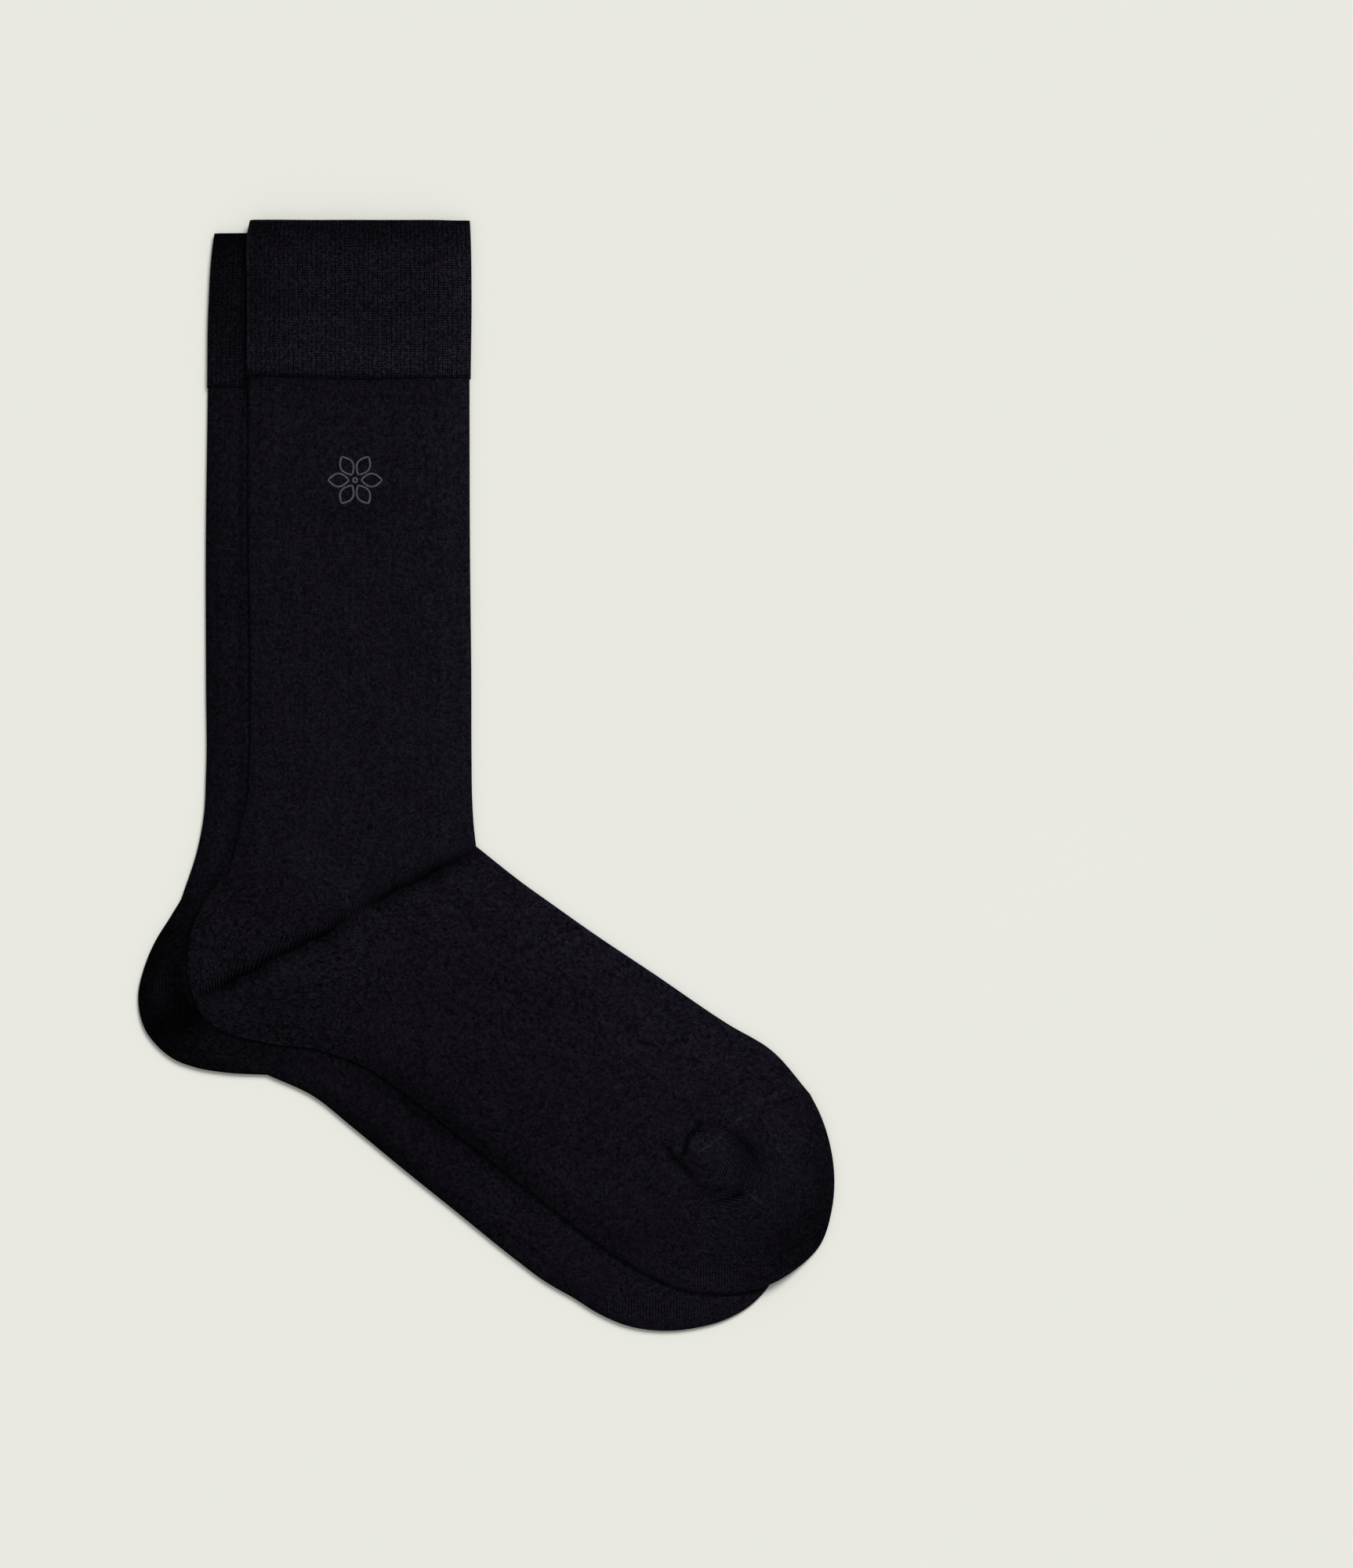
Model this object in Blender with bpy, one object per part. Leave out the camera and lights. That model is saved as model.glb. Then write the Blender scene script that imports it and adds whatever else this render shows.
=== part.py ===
"""A pair of men's fine-knit dress socks, laid flat with one sock on the other.

Each sock is a knitted tube pressed flat: a double-knit cuff, a ribbed leg, a
heel pocket, a foot whose instep is ribbed, and a toe pocket. The pieces are
walls of cloth lofted through rows of the knitting, and every row is worked out
from the short tables below. The toe and heel pockets turn about the corner
where their side seam starts, as they do on the machine that knits them.

Lengths in the tables and constants are in millimetres, measured from the ankle
notch of the top sock, with +Y up its leg and +X towards its toe.
"""

import math
from collections import namedtuple

import bmesh
import bpy
import numpy as np

MM = 0.001

# Cloth
KNIT_WALL = 1.0
CUFF_WALL = 1.3  # the cuff is knitted double
LAYER_GAP = 0.4  # between the two layers of a flattened tube
SEAM_GAP = 0.3  # between neighbouring pieces of one sock
LAY_GAP = 0.7  # between the bottom sock and the top one
CUFF_BLEND = 8.0  # length over which the layer above a cuff's end comes down

# Wide ribs, parted by narrow grooves, on the upper layer of leg and instep
GROOVES = 11  # across the flattened leg
GROOVE_WIDTH = 1.4
RIB_HEIGHT = 0.25

# Drape of the top sock from the bottom sock's edge down to the ground
DRAPE_REACH = 14.0
EDGE_FADE = 6.0  # folds and puffs die out this near the folded edges
PIVOT_SHIFT = 1.0  # a pocket's rows start this far inside its corner
PIVOT_RADIUS = 0.8

# Angles at which the round folded edge of a tube has its points
EDGE_TURN = (0.0, 35.0, 65.0, 90.0)

# Places of the points of a row, from the back edge, 0, to the front edge, 1
UNDER_TUBE = (0.06, 0.2, 0.35, 0.5, 0.65, 0.76, 0.84, 0.92)
PLAIN_CUFF = (0.06, 0.16, 0.28, 0.4, 0.5, 0.6, 0.7, 0.78, 0.84, 0.9, 0.95)
PLAIN_SOLE = (0.06, 0.15, 0.25, 0.35, 0.43)
POCKET = (0.0, 0.1, 0.22, 0.36, 0.5, 0.64, 0.78, 0.9)  # from its corner out

# A row of knitting across a tube, with the mesh rows from it to the next one
Row = namedtuple("Row", "steps back_x back_y side_x side_y front_x front_y")
# A point on a pocket's folded edge, with the mesh rows from it to the next one
Edge = namedtuple("Edge", "steps x y")
# A crease in the upper layer: lips of this height stand this far to each side
Fold = namedtuple("Fold", "x0 y0 x1 y1 lip spread")
# A round swelling of the upper layer
Puff = namedtuple("Puff", "x y height radius")
Sock = namedtuple("Sock", "name cuff leg heel foot toe folds puffs")

TOP_SOCK = Sock(
    name="top_sock",
    cuff=(
        Row(1, -86.5, 240.0, -44.5, 240.0, -2.3, 240.0),
        Row(3, -87.3, 235.0, -44.5, 235.0, -2.1, 235.0),
        Row(3, -87.5, 212.0, -44.6, 212.0, -1.7, 212.0),
        Row(0, -87.5, 182.4, -44.6, 180.0, -2.0, 181.2),
    ),
    leg=(
        Row(2, -86.9, 182.4, -44.8, 180.0, -2.5, 181.2),
        Row(2, -86.9, 114.0, -44.6, 113.0, -2.3, 114.0),
        Row(2, -86.3, 66.0, -44.4, 64.0, -1.8, 66.0),
        Row(2, -86.6, 31.8, -44.4, 25.0, -1.7, 34.0),
        Row(1, -87.5, 18.0, -44.4, 6.0, -1.5, 19.0),
        Row(3, -90.2, 6.9, -44.5, -8.5, -1.0, 9.5),
        Row(0, -94.4, -10.5, -44.6, -24.9, 0.0, 0.0),
    ),
    heel=(
        Edge(1, -94.4, -10.5),
        Edge(1, -99.5, -15.3),
        Edge(1, -104.9, -23.4),
        Edge(1, -109.1, -33.6),
        Edge(1, -110.3, -43.8),
        Edge(1, -109.7, -52.8),
        Edge(1, -107.6, -58.6),
        Edge(1, -104.0, -65.4),
        Edge(1, -95.6, -71.1),
        Edge(1, -86.6, -73.8),
        Edge(1, -75.5, -75.9),
        Edge(0, -60.8, -77.4),
    ),
    foot=(
        Row(3, -60.8, -77.4, -44.6, -24.9, 0.0, 0.0),
        Row(2, -43.0, -84.0, -23.3, -40.2, 16.0, -12.7),
        Row(2, -27.5, -94.2, -2.0, -55.5, 28.2, -21.5),
        Row(2, -9.0, -108.7, 19.4, -70.8, 46.2, -34.2),
        Row(2, 11.5, -124.5, 40.7, -86.1, 68.5, -49.1),
        Row(2, 34.5, -142.7, 62.0, -101.4, 96.5, -68.1),
        Row(2, 46.0, -151.7, 72.6, -109.0, 113.3, -78.3),
        Row(0, 57.8, -159.3, 83.3, -116.7, 127.8, -94.8),
    ),
    toe=(
        Edge(1, 127.8, -94.8),
        Edge(1, 131.8, -102.8),
        Edge(1, 135.4, -114.0),
        Edge(1, 137.1, -127.0),
        Edge(1, 136.1, -139.2),
        Edge(1, 131.5, -152.8),
        Edge(1, 122.0, -162.0),
        Edge(1, 108.0, -169.2),
        Edge(1, 94.0, -171.2),
        Edge(1, 80.0, -169.5),
        Edge(1, 68.5, -165.4),
        Edge(0, 57.8, -159.3),
    ),
    folds=(
        Fold(0.0, 0.0, -97.0, -55.0, 1.3, 4.5),
        Fold(83.3, -116.7, 118.0, -143.5, 0.5, 4.5),
        Fold(70.0, -109.0, 88.5, -134.0, 0.5, 4.0),
    ),
    puffs=(
        Puff(-78.0, -22.0, 0.5, 15.0),
        Puff(-78.0, -58.0, 0.6, 13.0),
        Puff(94.0, -119.0, 0.9, 9.0),
        Puff(104.0, -150.0, 0.4, 14.0),
    ),
)

BOTTOM_SOCK = Sock(
    name="bottom_sock",
    cuff=(
        Row(1, -100.2, 234.7, -59.4, 235.0, -17.3, 235.3),
        Row(2, -101.0, 228.0, -59.5, 228.0, -17.1, 228.0),
        Row(3, -102.4, 206.0, -59.8, 206.0, -17.0, 206.0),
        Row(0, -102.9, 175.6, -60.0, 174.6, -17.2, 175.3),
    ),
    leg=(
        Row(2, -102.6, 175.6, -60.2, 174.6, -18.2, 175.3),
        Row(2, -103.4, 110.0, -60.8, 106.0, -18.5, 105.0),
        Row(2, -103.3, 62.0, -61.2, 58.0, -18.7, 60.0),
        Row(2, -103.3, 28.0, -61.6, 14.0, -18.7, 20.0),
        Row(1, -104.2, 11.4, -61.9, -4.5, -18.5, 6.0),
        Row(3, -106.8, -2.0, -62.2, -19.5, -18.1, -3.0),
        Row(0, -112.8, -20.2, -62.5, -36.6, -17.3, -12.5),
    ),
    heel=(
        Edge(1, -112.8, -20.2),
        Edge(1, -117.2, -27.4),
        Edge(1, -122.4, -35.7),
        Edge(1, -127.0, -46.5),
        Edge(1, -129.2, -56.4),
        Edge(1, -128.6, -64.4),
        Edge(1, -126.4, -70.6),
        Edge(1, -122.2, -76.2),
        Edge(1, -116.0, -81.3),
        Edge(1, -107.6, -84.6),
        Edge(1, -96.0, -86.6),
        Edge(0, -79.8, -87.5),
    ),
    foot=(
        Row(3, -79.8, -87.5, -62.5, -36.6, -17.3, -12.5),
        Row(2, -62.2, -95.7, -41.5, -52.4, -1.5, -25.5),
        Row(2, -47.2, -107.6, -20.5, -68.2, 10.9, -34.4),
        Row(2, -28.8, -122.8, 0.7, -84.0, 28.7, -47.5),
        Row(2, -8.3, -139.3, 21.8, -99.8, 50.4, -63.2),
        Row(2, 14.4, -157.6, 42.8, -115.6, 78.1, -82.9),
        Row(2, 25.7, -166.1, 53.3, -123.4, 94.3, -93.8),
        Row(0, 37.4, -172.9, 63.9, -131.4, 109.5, -110.0),
    ),
    toe=(
        Edge(1, 109.5, -110.0),
        Edge(1, 113.4, -118.5),
        Edge(1, 116.6, -130.0),
        Edge(1, 118.2, -143.0),
        Edge(1, 117.2, -155.0),
        Edge(1, 113.2, -166.4),
        Edge(1, 106.0, -174.8),
        Edge(1, 96.6, -180.6),
        Edge(1, 84.5, -184.2),
        Edge(1, 71.2, -185.4),
        Edge(1, 58.0, -183.5),
        Edge(1, 47.0, -178.9),
        Edge(0, 37.4, -172.9),
    ),
    folds=(
        Fold(-17.3, -12.5, -115.5, -68.5, 1.0, 4.5),
        Fold(63.9, -131.4, 99.0, -158.0, 0.4, 4.5),
    ),
    puffs=(Puff(-97.0, -70.0, 0.4, 12.0),),
)

# Material, colour, roughness
BLACK = (0.008, 0.008, 0.011, 1.0)
CUFF_BLACK = (0.011, 0.011, 0.014, 1.0)
KNIT_ROUGHNESS = 0.9

COLLECTION = "flat_laid_dress_socks"


def clear_scene():
    for obj in list(bpy.data.objects):
        bpy.data.objects.remove(obj, do_unlink=True)


def smooth_step(t):
    t = np.clip(t, 0.0, 1.0)
    return t * t * (3.0 - 2.0 * t)


def curve_through(table):
    """Mesh rows on a smooth curve through a table's rows, its steps column between each two."""
    points = np.array([row[1:] for row in table], float)
    gaps = np.linalg.norm(np.diff(points, axis=0), axis=1)
    slopes = np.diff(points, axis=0) / gaps[:, None]
    tangents = np.vstack([slopes[:1], slopes[1:], slopes[-1:]])
    before, after = gaps[:-1, None], gaps[1:, None]
    tangents[1:-1] = (after * slopes[:-1] + before * slopes[1:]) / (before + after)
    rows = [points[0]]
    for i, row in enumerate(table[:-1]):
        for t in np.arange(1, row.steps + 1) / row.steps:
            start = (1.0 + 2.0 * t) * (1.0 - t) ** 2 * points[i]
            end = t * t * (3.0 - 2.0 * t) * points[i + 1]
            leaving = t * (1.0 - t) ** 2 * gaps[i] * tangents[i]
            arriving = t * t * (1.0 - t) * gaps[i] * tangents[i + 1]
            rows.append(start + end + leaving - arriving)
    return np.array(rows)


def outline_of(sock):
    """The sock's outline in plan, down the back and up the front."""
    tubes = np.vstack([curve_through(sock.cuff), curve_through(sock.leg)])
    heel = curve_through(sock.heel)
    foot = curve_through(sock.foot)
    toe = curve_through(sock.toe)
    down = (tubes[:, 0:2], heel, foot[:, 0:2], toe[::-1])
    up = (foot[::-1, 4:6], tubes[::-1, 4:6])
    return np.vstack(down + up)


def distance_outside(points, outline):
    """How far each point lies outside a closed outline, 0 for a point inside it."""
    start, end = outline, np.roll(outline, -1, axis=0)
    along = end - start
    length2 = np.maximum((along**2).sum(axis=1), 1e-9)
    to_point = points[:, None, :] - start[None]
    t = np.clip((to_point * along).sum(axis=2) / length2, 0.0, 1.0)
    nearest = np.linalg.norm(to_point - t[:, :, None] * along, axis=2).min(axis=1)
    x, y = points[:, 0:1], points[:, 1:2]
    spans = (start[:, 1] > y) != (end[:, 1] > y)
    rise = np.where(along[:, 1] == 0.0, 1e-9, along[:, 1])
    crossing = start[:, 0] + (y - start[:, 1]) * along[:, 0] / rise
    inside = (spans & (x < crossing)).sum(axis=1) % 2 == 1
    return np.where(inside, 0.0, nearest)


def relief(sock, points):
    """Height that the creases' lips and the puffs add to the upper layer."""
    height = np.zeros(len(points))
    for fold in sock.folds:
        start = np.array([fold.x0, fold.y0])
        along = np.array([fold.x1, fold.y1]) - start
        length = np.linalg.norm(along)
        along /= length
        to_point = points - start
        run = to_point @ along
        off = np.abs(to_point @ np.array([-along[1], along[0]])) / fold.spread
        past = np.maximum(np.maximum(-run, run - length), 0.0) / (2.0 * fold.spread)
        height += fold.lip * off**2 * np.exp(1.0 - off**2) * (1.0 - smooth_step(past))
    for puff in sock.puffs:
        off2 = ((points - np.array([puff.x, puff.y])) ** 2).sum(axis=1)
        height += puff.height * np.exp(-off2 / puff.radius**2)
    return height


def flat_bed(points):
    return np.zeros(len(points))


def bed_on(lower):
    """The height that a sock lies at when it is laid on another, and on the ground beyond."""
    outline = outline_of(lower)
    cuff_end = lower.cuff[-1].back_y
    leg_height = 2.0 * KNIT_WALL + LAYER_GAP + RIB_HEIGHT + LAY_GAP
    cuff_height = 2.0 * CUFF_WALL + LAYER_GAP + LAY_GAP

    def bed(points):
        rise = smooth_step((points[:, 1] - cuff_end) / CUFF_BLEND + 1.0)
        height = leg_height + (cuff_height - leg_height) * rise + relief(lower, points)
        away = distance_outside(points, outline) / DRAPE_REACH
        return height * (1.0 - smooth_step(away))

    return bed


def groove_places(first_half):
    """Places across a row of each groove's two shoulders and its floor."""
    half_width = GROOVE_WIDTH / 2.0 / abs(TOP_SOCK.leg[0].front_x - TOP_SOCK.leg[0].back_x)
    places = []
    for i in range(GROOVES):
        centre = (i + 0.5) / GROOVES
        if first_half or centre > 0.49:
            places += [centre - half_width, centre, centre + half_width]
    return tuple(places)


def is_groove(place):
    """Whether a place across a row is the floor of a groove."""
    nearest = round(place * GROOVES - 0.5)
    return abs(place * GROOVES - 0.5 - nearest) < 1e-6


def edge_points(half, inset):
    """Distance from the folded edge and height of a round edge's points, in units of half."""
    turn = np.radians(EDGE_TURN)
    return inset + half * (1.0 - np.cos(turn)), np.sin(turn)


def tube_loop(row, half, inset, upper, under):
    """Plan points, levels and edge distances once round a flattened tube."""
    back, side, front = row[0:2], row[2:4], row[4:6]
    back_width, front_width = np.linalg.norm(side - back), np.linalg.norm(front - side)
    off, level = edge_points(half, inset)
    at_back, at_front = off / (2.0 * back_width), 1.0 - off / (2.0 * front_width)
    upper, under = np.array(upper), np.array(under)
    places = np.concatenate(
        [at_back, upper, at_front[::-1], at_front[1:], under[::-1], at_back[:0:-1]]
    )
    levels = np.concatenate(
        [level, np.ones(len(upper)), level[::-1], -level[1:], -np.ones(len(under)), -level[:0:-1]]
    )
    in_back = places < 0.5
    plan = np.where(
        in_back[:, None],
        back + (side - back) * (2.0 * places)[:, None],
        side + (front - side) * (2.0 * places - 1.0)[:, None],
    )
    width = np.where(in_back, back_width, front_width)
    edge = 2.0 * np.minimum(places, 1.0 - places) * width
    return plan, levels, edge, places


def pocket_loop(row, half, inset):
    """Plan points, levels and edge distances from a pocket's corner, round its edge and back."""
    corner, rim = row[0:2], row[2:4]
    width = np.linalg.norm(rim - corner)
    off, level = edge_points(half, inset)
    at_rim = 1.0 - off / width
    flat = np.array(POCKET)
    places = np.concatenate([flat, at_rim[::-1], at_rim[1:], flat[::-1]])
    levels = np.concatenate([np.ones(len(flat)), level[::-1], -level[1:], -np.ones(len(flat))])
    plan = corner + (rim - corner) * places[:, None]
    return plan, levels, (1.0 - places) * width, np.full(len(places), -1.0)


def surface(sock, bed, rows, loop, wall, ribbed, outer):
    """Points of a piece's outer or inner surface, a list for each row."""
    half = (wall + LAYER_GAP / 2.0) if outer else LAYER_GAP / 2.0
    inset = 0.0 if outer else wall
    middle = wall + LAYER_GAP / 2.0
    grid = []
    for row in rows:
        plan, levels, edge, places = loop(row, half, inset)
        lift = relief(sock, plan) * smooth_step(edge / EDGE_FADE)
        if outer and ribbed:
            on_rib = np.array([not is_groove(place) for place in places])
            lift += RIB_HEIGHT * on_rib * smooth_step(edge / GROOVE_WIDTH)
        height = bed(plan) + middle + levels * half + np.maximum(levels, 0.0) * lift
        grid.append(np.column_stack([plan, height]))
    return np.array(grid)


def open_seams(rows, first=True):
    """Moves the last row, and the first, back by half of the gap between pieces."""
    rows = rows.copy()
    for end, inner in ((0, 1), (-1, -2))[not first :]:
        for i in range(0, rows.shape[1], 2):
            step = rows[inner, i : i + 2] - rows[end, i : i + 2]
            length = np.linalg.norm(step)
            rows[end, i : i + 2] += step * min(SEAM_GAP / 2.0 / max(length, 1e-9), 0.4)
    return rows


def pocket_rows(table, corner):
    """Rows of a pocket, each from near its corner out to its folded edge."""
    rims = curve_through(table)
    corner = np.array(corner)
    outward = rims.mean(axis=0) - corner
    pivot = corner + outward / np.linalg.norm(outward) * PIVOT_SHIFT
    spokes = rims - pivot
    starts = pivot + spokes / np.linalg.norm(spokes, axis=1)[:, None] * PIVOT_RADIUS
    return np.hstack([starts, rims])


def cloth_mesh(name, outer, inner, wraps):
    """A closed wall between two grids of points. A tube wraps round, and a pocket doesn't."""
    mesh = bmesh.new()
    out = [[mesh.verts.new(point * MM) for point in row] for row in outer]
    ins = [[mesh.verts.new(point * MM) for point in row] for row in inner]
    count, last = len(out[0]), len(out) - 1
    for j in range(count if wraps else count - 1):
        k = (j + 1) % count
        for i in range(last):
            mesh.faces.new((out[i][j], out[i][k], out[i + 1][k], out[i + 1][j]))
            mesh.faces.new((ins[i][j], ins[i + 1][j], ins[i + 1][k], ins[i][k]))
        for i in (0, last):
            mesh.faces.new((out[i][j], out[i][k], ins[i][k], ins[i][j]))
    if not wraps:
        for i in range(last):
            for j in (0, count - 1):
                mesh.faces.new((out[i][j], out[i + 1][j], ins[i + 1][j], ins[i][j]))
    bmesh.ops.recalc_face_normals(mesh, faces=mesh.faces)
    data = bpy.data.meshes.new(name)
    mesh.to_mesh(data)
    mesh.free()
    data.shade_smooth()
    data.set_sharp_from_angle(angle=math.radians(50.0))
    return data


def knit_material(name, colour):
    material = bpy.data.materials.new(name)
    material.use_nodes = True
    shader = material.node_tree.nodes["Principled BSDF"]
    shader.inputs["Base Color"].default_value = colour
    shader.inputs["Roughness"].default_value = KNIT_ROUGHNESS
    shader.inputs["Metallic"].default_value = 0.0
    return material


def add_piece(name, data, material, collection, holder):
    data.materials.append(material)
    obj = bpy.data.objects.new(name, data)
    obj.parent = holder
    collection.objects.link(obj)


def tube_piece(sock, bed, table, wall, upper, ribbed, name):
    rows = open_seams(curve_through(table), first=table is not sock.cuff)

    def loop(row, half, inset):
        return tube_loop(row, half, inset, upper, UNDER_TUBE)

    outer = surface(sock, bed, rows, loop, wall, ribbed, outer=True)
    inner = surface(sock, bed, rows, loop, wall, ribbed, outer=False)
    return cloth_mesh(name, outer, inner, wraps=True)


def pocket_piece(sock, bed, table, corner, name):
    rows = open_seams(pocket_rows(table, corner))
    outer = surface(sock, bed, rows, pocket_loop, KNIT_WALL, ribbed=False, outer=True)
    inner = surface(sock, bed, rows, pocket_loop, KNIT_WALL, ribbed=False, outer=False)
    return cloth_mesh(name, outer, inner, wraps=False)


def heel_corner(sock):
    return sock.foot[0].side_x, sock.foot[0].side_y


def toe_corner(sock):
    return sock.foot[-1].side_x, sock.foot[-1].side_y


def add_sock(sock, bed, collection, holder, materials):
    """The five pieces of one sock, laid on the given bed."""
    ribs = groove_places(first_half=True)
    instep = PLAIN_SOLE + groove_places(first_half=False)
    name = sock.name + "_cuff"
    data = tube_piece(sock, bed, sock.cuff, CUFF_WALL, PLAIN_CUFF, False, name)
    add_piece(name, data, materials["cuff"], collection, holder)
    name = sock.name + "_leg"
    data = tube_piece(sock, bed, sock.leg, KNIT_WALL, ribs, True, name)
    add_piece(name, data, materials["leg"], collection, holder)
    name = sock.name + "_heel"
    data = pocket_piece(sock, bed, sock.heel, heel_corner(sock), name)
    add_piece(name, data, materials["heel"], collection, holder)
    name = sock.name + "_foot"
    data = tube_piece(sock, bed, sock.foot, KNIT_WALL, instep, True, name)
    add_piece(name, data, materials["foot"], collection, holder)
    name = sock.name + "_toe"
    data = pocket_piece(sock, bed, sock.toe, toe_corner(sock), name)
    add_piece(name, data, materials["toe"], collection, holder)


def centre_of(socks):
    """Middle in plan of all the outlines, where the origin goes."""
    points = np.vstack([outline_of(sock) for sock in socks])
    return (points.min(axis=0) + points.max(axis=0)) / 2.0


def main():
    clear_scene()
    collection = bpy.data.collections.new(COLLECTION)
    bpy.context.scene.collection.children.link(collection)
    holder = bpy.data.objects.new("pair", None)
    collection.objects.link(holder)
    middle_x, middle_y = centre_of((TOP_SOCK, BOTTOM_SOCK))
    holder.location = (-middle_x * MM, -middle_y * MM, 0.0)
    plain = ("leg", "heel", "foot", "toe")
    materials = {part: knit_material(part + "_knit", BLACK) for part in plain}
    materials["cuff"] = knit_material("cuff_knit", CUFF_BLACK)
    add_sock(BOTTOM_SOCK, flat_bed, collection, holder, materials)
    add_sock(TOP_SOCK, bed_on(BOTTOM_SOCK), collection, holder, materials)


main()
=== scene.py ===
"""A pair of men's fine-knit dress socks laid flat, one on the other, seen from above.

Each sock is a knitted tube pressed flat. Its cuff, leg, heel pocket, foot and
toe pocket are thin shells of cloth on the forms of the CAD nodes that they
replace, with the creases, seams and puckers worked in. The tables are in
millimetres from the ankle notch of the top sock, +Y up its leg and +X towards
its toe, as in the part's own source.
"""

import math
from collections import namedtuple

import bpy
import numpy as np
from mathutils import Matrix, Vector
from mathutils.bvhtree import BVHTree


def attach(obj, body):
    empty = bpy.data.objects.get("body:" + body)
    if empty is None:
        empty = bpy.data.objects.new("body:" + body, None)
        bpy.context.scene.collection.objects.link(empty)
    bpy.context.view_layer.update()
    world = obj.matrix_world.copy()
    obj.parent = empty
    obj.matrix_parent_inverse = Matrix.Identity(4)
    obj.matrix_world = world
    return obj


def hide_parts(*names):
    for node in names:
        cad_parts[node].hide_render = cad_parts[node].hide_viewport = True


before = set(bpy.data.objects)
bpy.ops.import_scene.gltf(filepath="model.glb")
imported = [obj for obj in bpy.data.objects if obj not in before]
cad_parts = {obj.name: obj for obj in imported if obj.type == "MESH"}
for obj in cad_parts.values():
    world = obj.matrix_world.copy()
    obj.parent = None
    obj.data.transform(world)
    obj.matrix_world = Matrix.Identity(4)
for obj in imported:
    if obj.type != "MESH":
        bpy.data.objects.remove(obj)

for name in ("Cube", "Light", "Camera"):
    if name in bpy.data.objects:
        bpy.data.objects.remove(bpy.data.objects[name], do_unlink=True)
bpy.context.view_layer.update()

MM = 0.001

# ---------------------------------------------------------------- cloth sizes

# of the solids, which set the levels
KNIT_WALL, CUFF_WALL = 1.0, 1.3
LAYER_GAP = 0.4
RIB_HEIGHT = 0.25
CUFF_BLEND = 8.0  # below the lower sock's cuff, where the upper one rises on to it
DRAPE_REACH = 14.0  # beside its outline, where the upper one comes down to the ground
KNIT_HALF, CUFF_HALF = KNIT_WALL + LAYER_GAP / 2.0, CUFF_WALL + LAYER_GAP / 2.0
LEG_WIDTH = 84.5

# of the shells
LAY_GAP = 0.45  # between the two socks
CLOTH, CUFF_CLOTH = 0.5, 0.9  # thickness
INNER_STEP = 3  # the inner side has every third row
SEAM = (0.28, 0.0, 0.55)  # height, place and width of the toe's seam
LEG_INSIDE = 1.2  # how far up inside the cuff the leg starts
EDGE_RADIUS = 1.9  # how far in a tube's round folded edge reaches
EDGE_TURN = np.radians([0, 14, 28, 42, 56, 70, 82, 90])
EDGE_OFF, EDGE_LEVEL = EDGE_RADIUS * (1.0 - np.cos(EDGE_TURN)), np.sin(EDGE_TURN)
RIM_TURN = (22.5, 45.0, 67.5, 90.0, 112.5, 135.0, 157.5)
EDGE_FADE = 6.0  # unevenness dies out over this towards the folded edge
EDGE_PRESS, PRESS_REACH = 0.3, 10.0  # the cloth is pressed flatter towards its folded edges
EDGE_SWELL = (0.12, 2.2, 2.4)  # height, place and width of the swelling inside it
GROOVES = 10  # across the flattened leg, between its wide ribs
GROOVE_DEPTH, GROOVE_WIDTH = 0.13, 1.1
GROOVE_SHADE, HALFWAY_TONE = (-0.13, 0.0, 0.6), (-0.06, 0.0, 0.5)  # painted shade in the grooves, and darker lines halfway between them
CUFF_RIBS = 48
CUFF_RIB_DEPTH = 0.14
CUFF_ROLL, CUFF_ROLL_WIDTH = 0.75, 1.3  # how far its lower edge rolls down on to the leg
CUFF_SWELL, MOUTH_SINK = (0.15, 2.6, 2.0), (-0.25, 0.0, 1.2)  # height, place, width
LEG_SINK = (-0.4, 0.0, 3.2)  # under the cuff
MOUTH_FADE, LEG_FADE, PLAIN_FADE = 2.5, 4.0, 5.0  # of the ribs at mouth, cuff, heel and toe
TONE_FROM, TONE_FADE = 2.0, 6.0  # below the cuff, where the grooves' painted shade comes in
INSTEP_FROM, INSTEP_BLEND = 0.49, 0.03  # of the way across the foot, where its ribs start
INSTEP_SHADE = 0.5  # of the leg's grooves' painted shade
FINE_BEFORE_TOE = 9.0  # where the foot's rows are close together once more
IN_GROOVE = np.array([-0.95, -0.5, 0.0, 0.5, 0.95])  # columns, from edge to edge of a groove
ON_RIB = np.array([0.14, 0.29, 0.42, 0.5, 0.58, 0.71, 0.86])  # and across a rib
BOW_REACH = 45.0  # how far the cloth on each side of the toe's seam is bowed with it
UNDULATION = 0.16
WAVES, WAVE_LENGTHS = 14, (16.0, 60.0)
BROAD = 3.0  # narrower lines of the lower sock don't show through the upper one
CREASE_END = 4.0  # creases die out over this past their ends
CREASE_WAVES = ((0.1, 2.3, 0.0), (0.08, 0.95, 1.0), (0.3, 6.1, 2.0))  # height, length, shift
GENTLE, STEEPENING = 0.25, 1.6  # the gentle slope's share, and the power of the steep one
SHOULDER_WIDTH = 0.55  # of the slope's
PULL, PULL_REACH = 0.5, 1.3  # how far the slope is pulled under the lip, of the overlap
CREASE_FADE, CREASE_PAST = 3.2, 0.8  # creases die out over the one, to the other past the edge
RIB_FADE = 3.0  # ribs and overlaps die out towards the folded edge
LIP_PLACES = (0.0, 0.18, 0.36, 0.52, 0.7, 1.0)
LIP_LEAN = (-0.5, -0.15, 0.45, 0.4, 0.1, 0.0)
LIP_BACK = (0.0, 0.0, 0.0, 0.1, 0.45, 1.0)
LIP_RISE = (0.0, 0.12, 0.5, 0.85, 1.0, 1.0)
HEEL_COLUMNS = np.concatenate([[0.0, 0.012, 0.028], np.linspace(0.048, 0.955, 56)])
TOE_COLUMNS = np.concatenate(
    [[0.0, 0.008, 0.017], np.arange(0.026, 0.42, 0.0078), np.linspace(0.43, 0.955, 34)]
)
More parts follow.
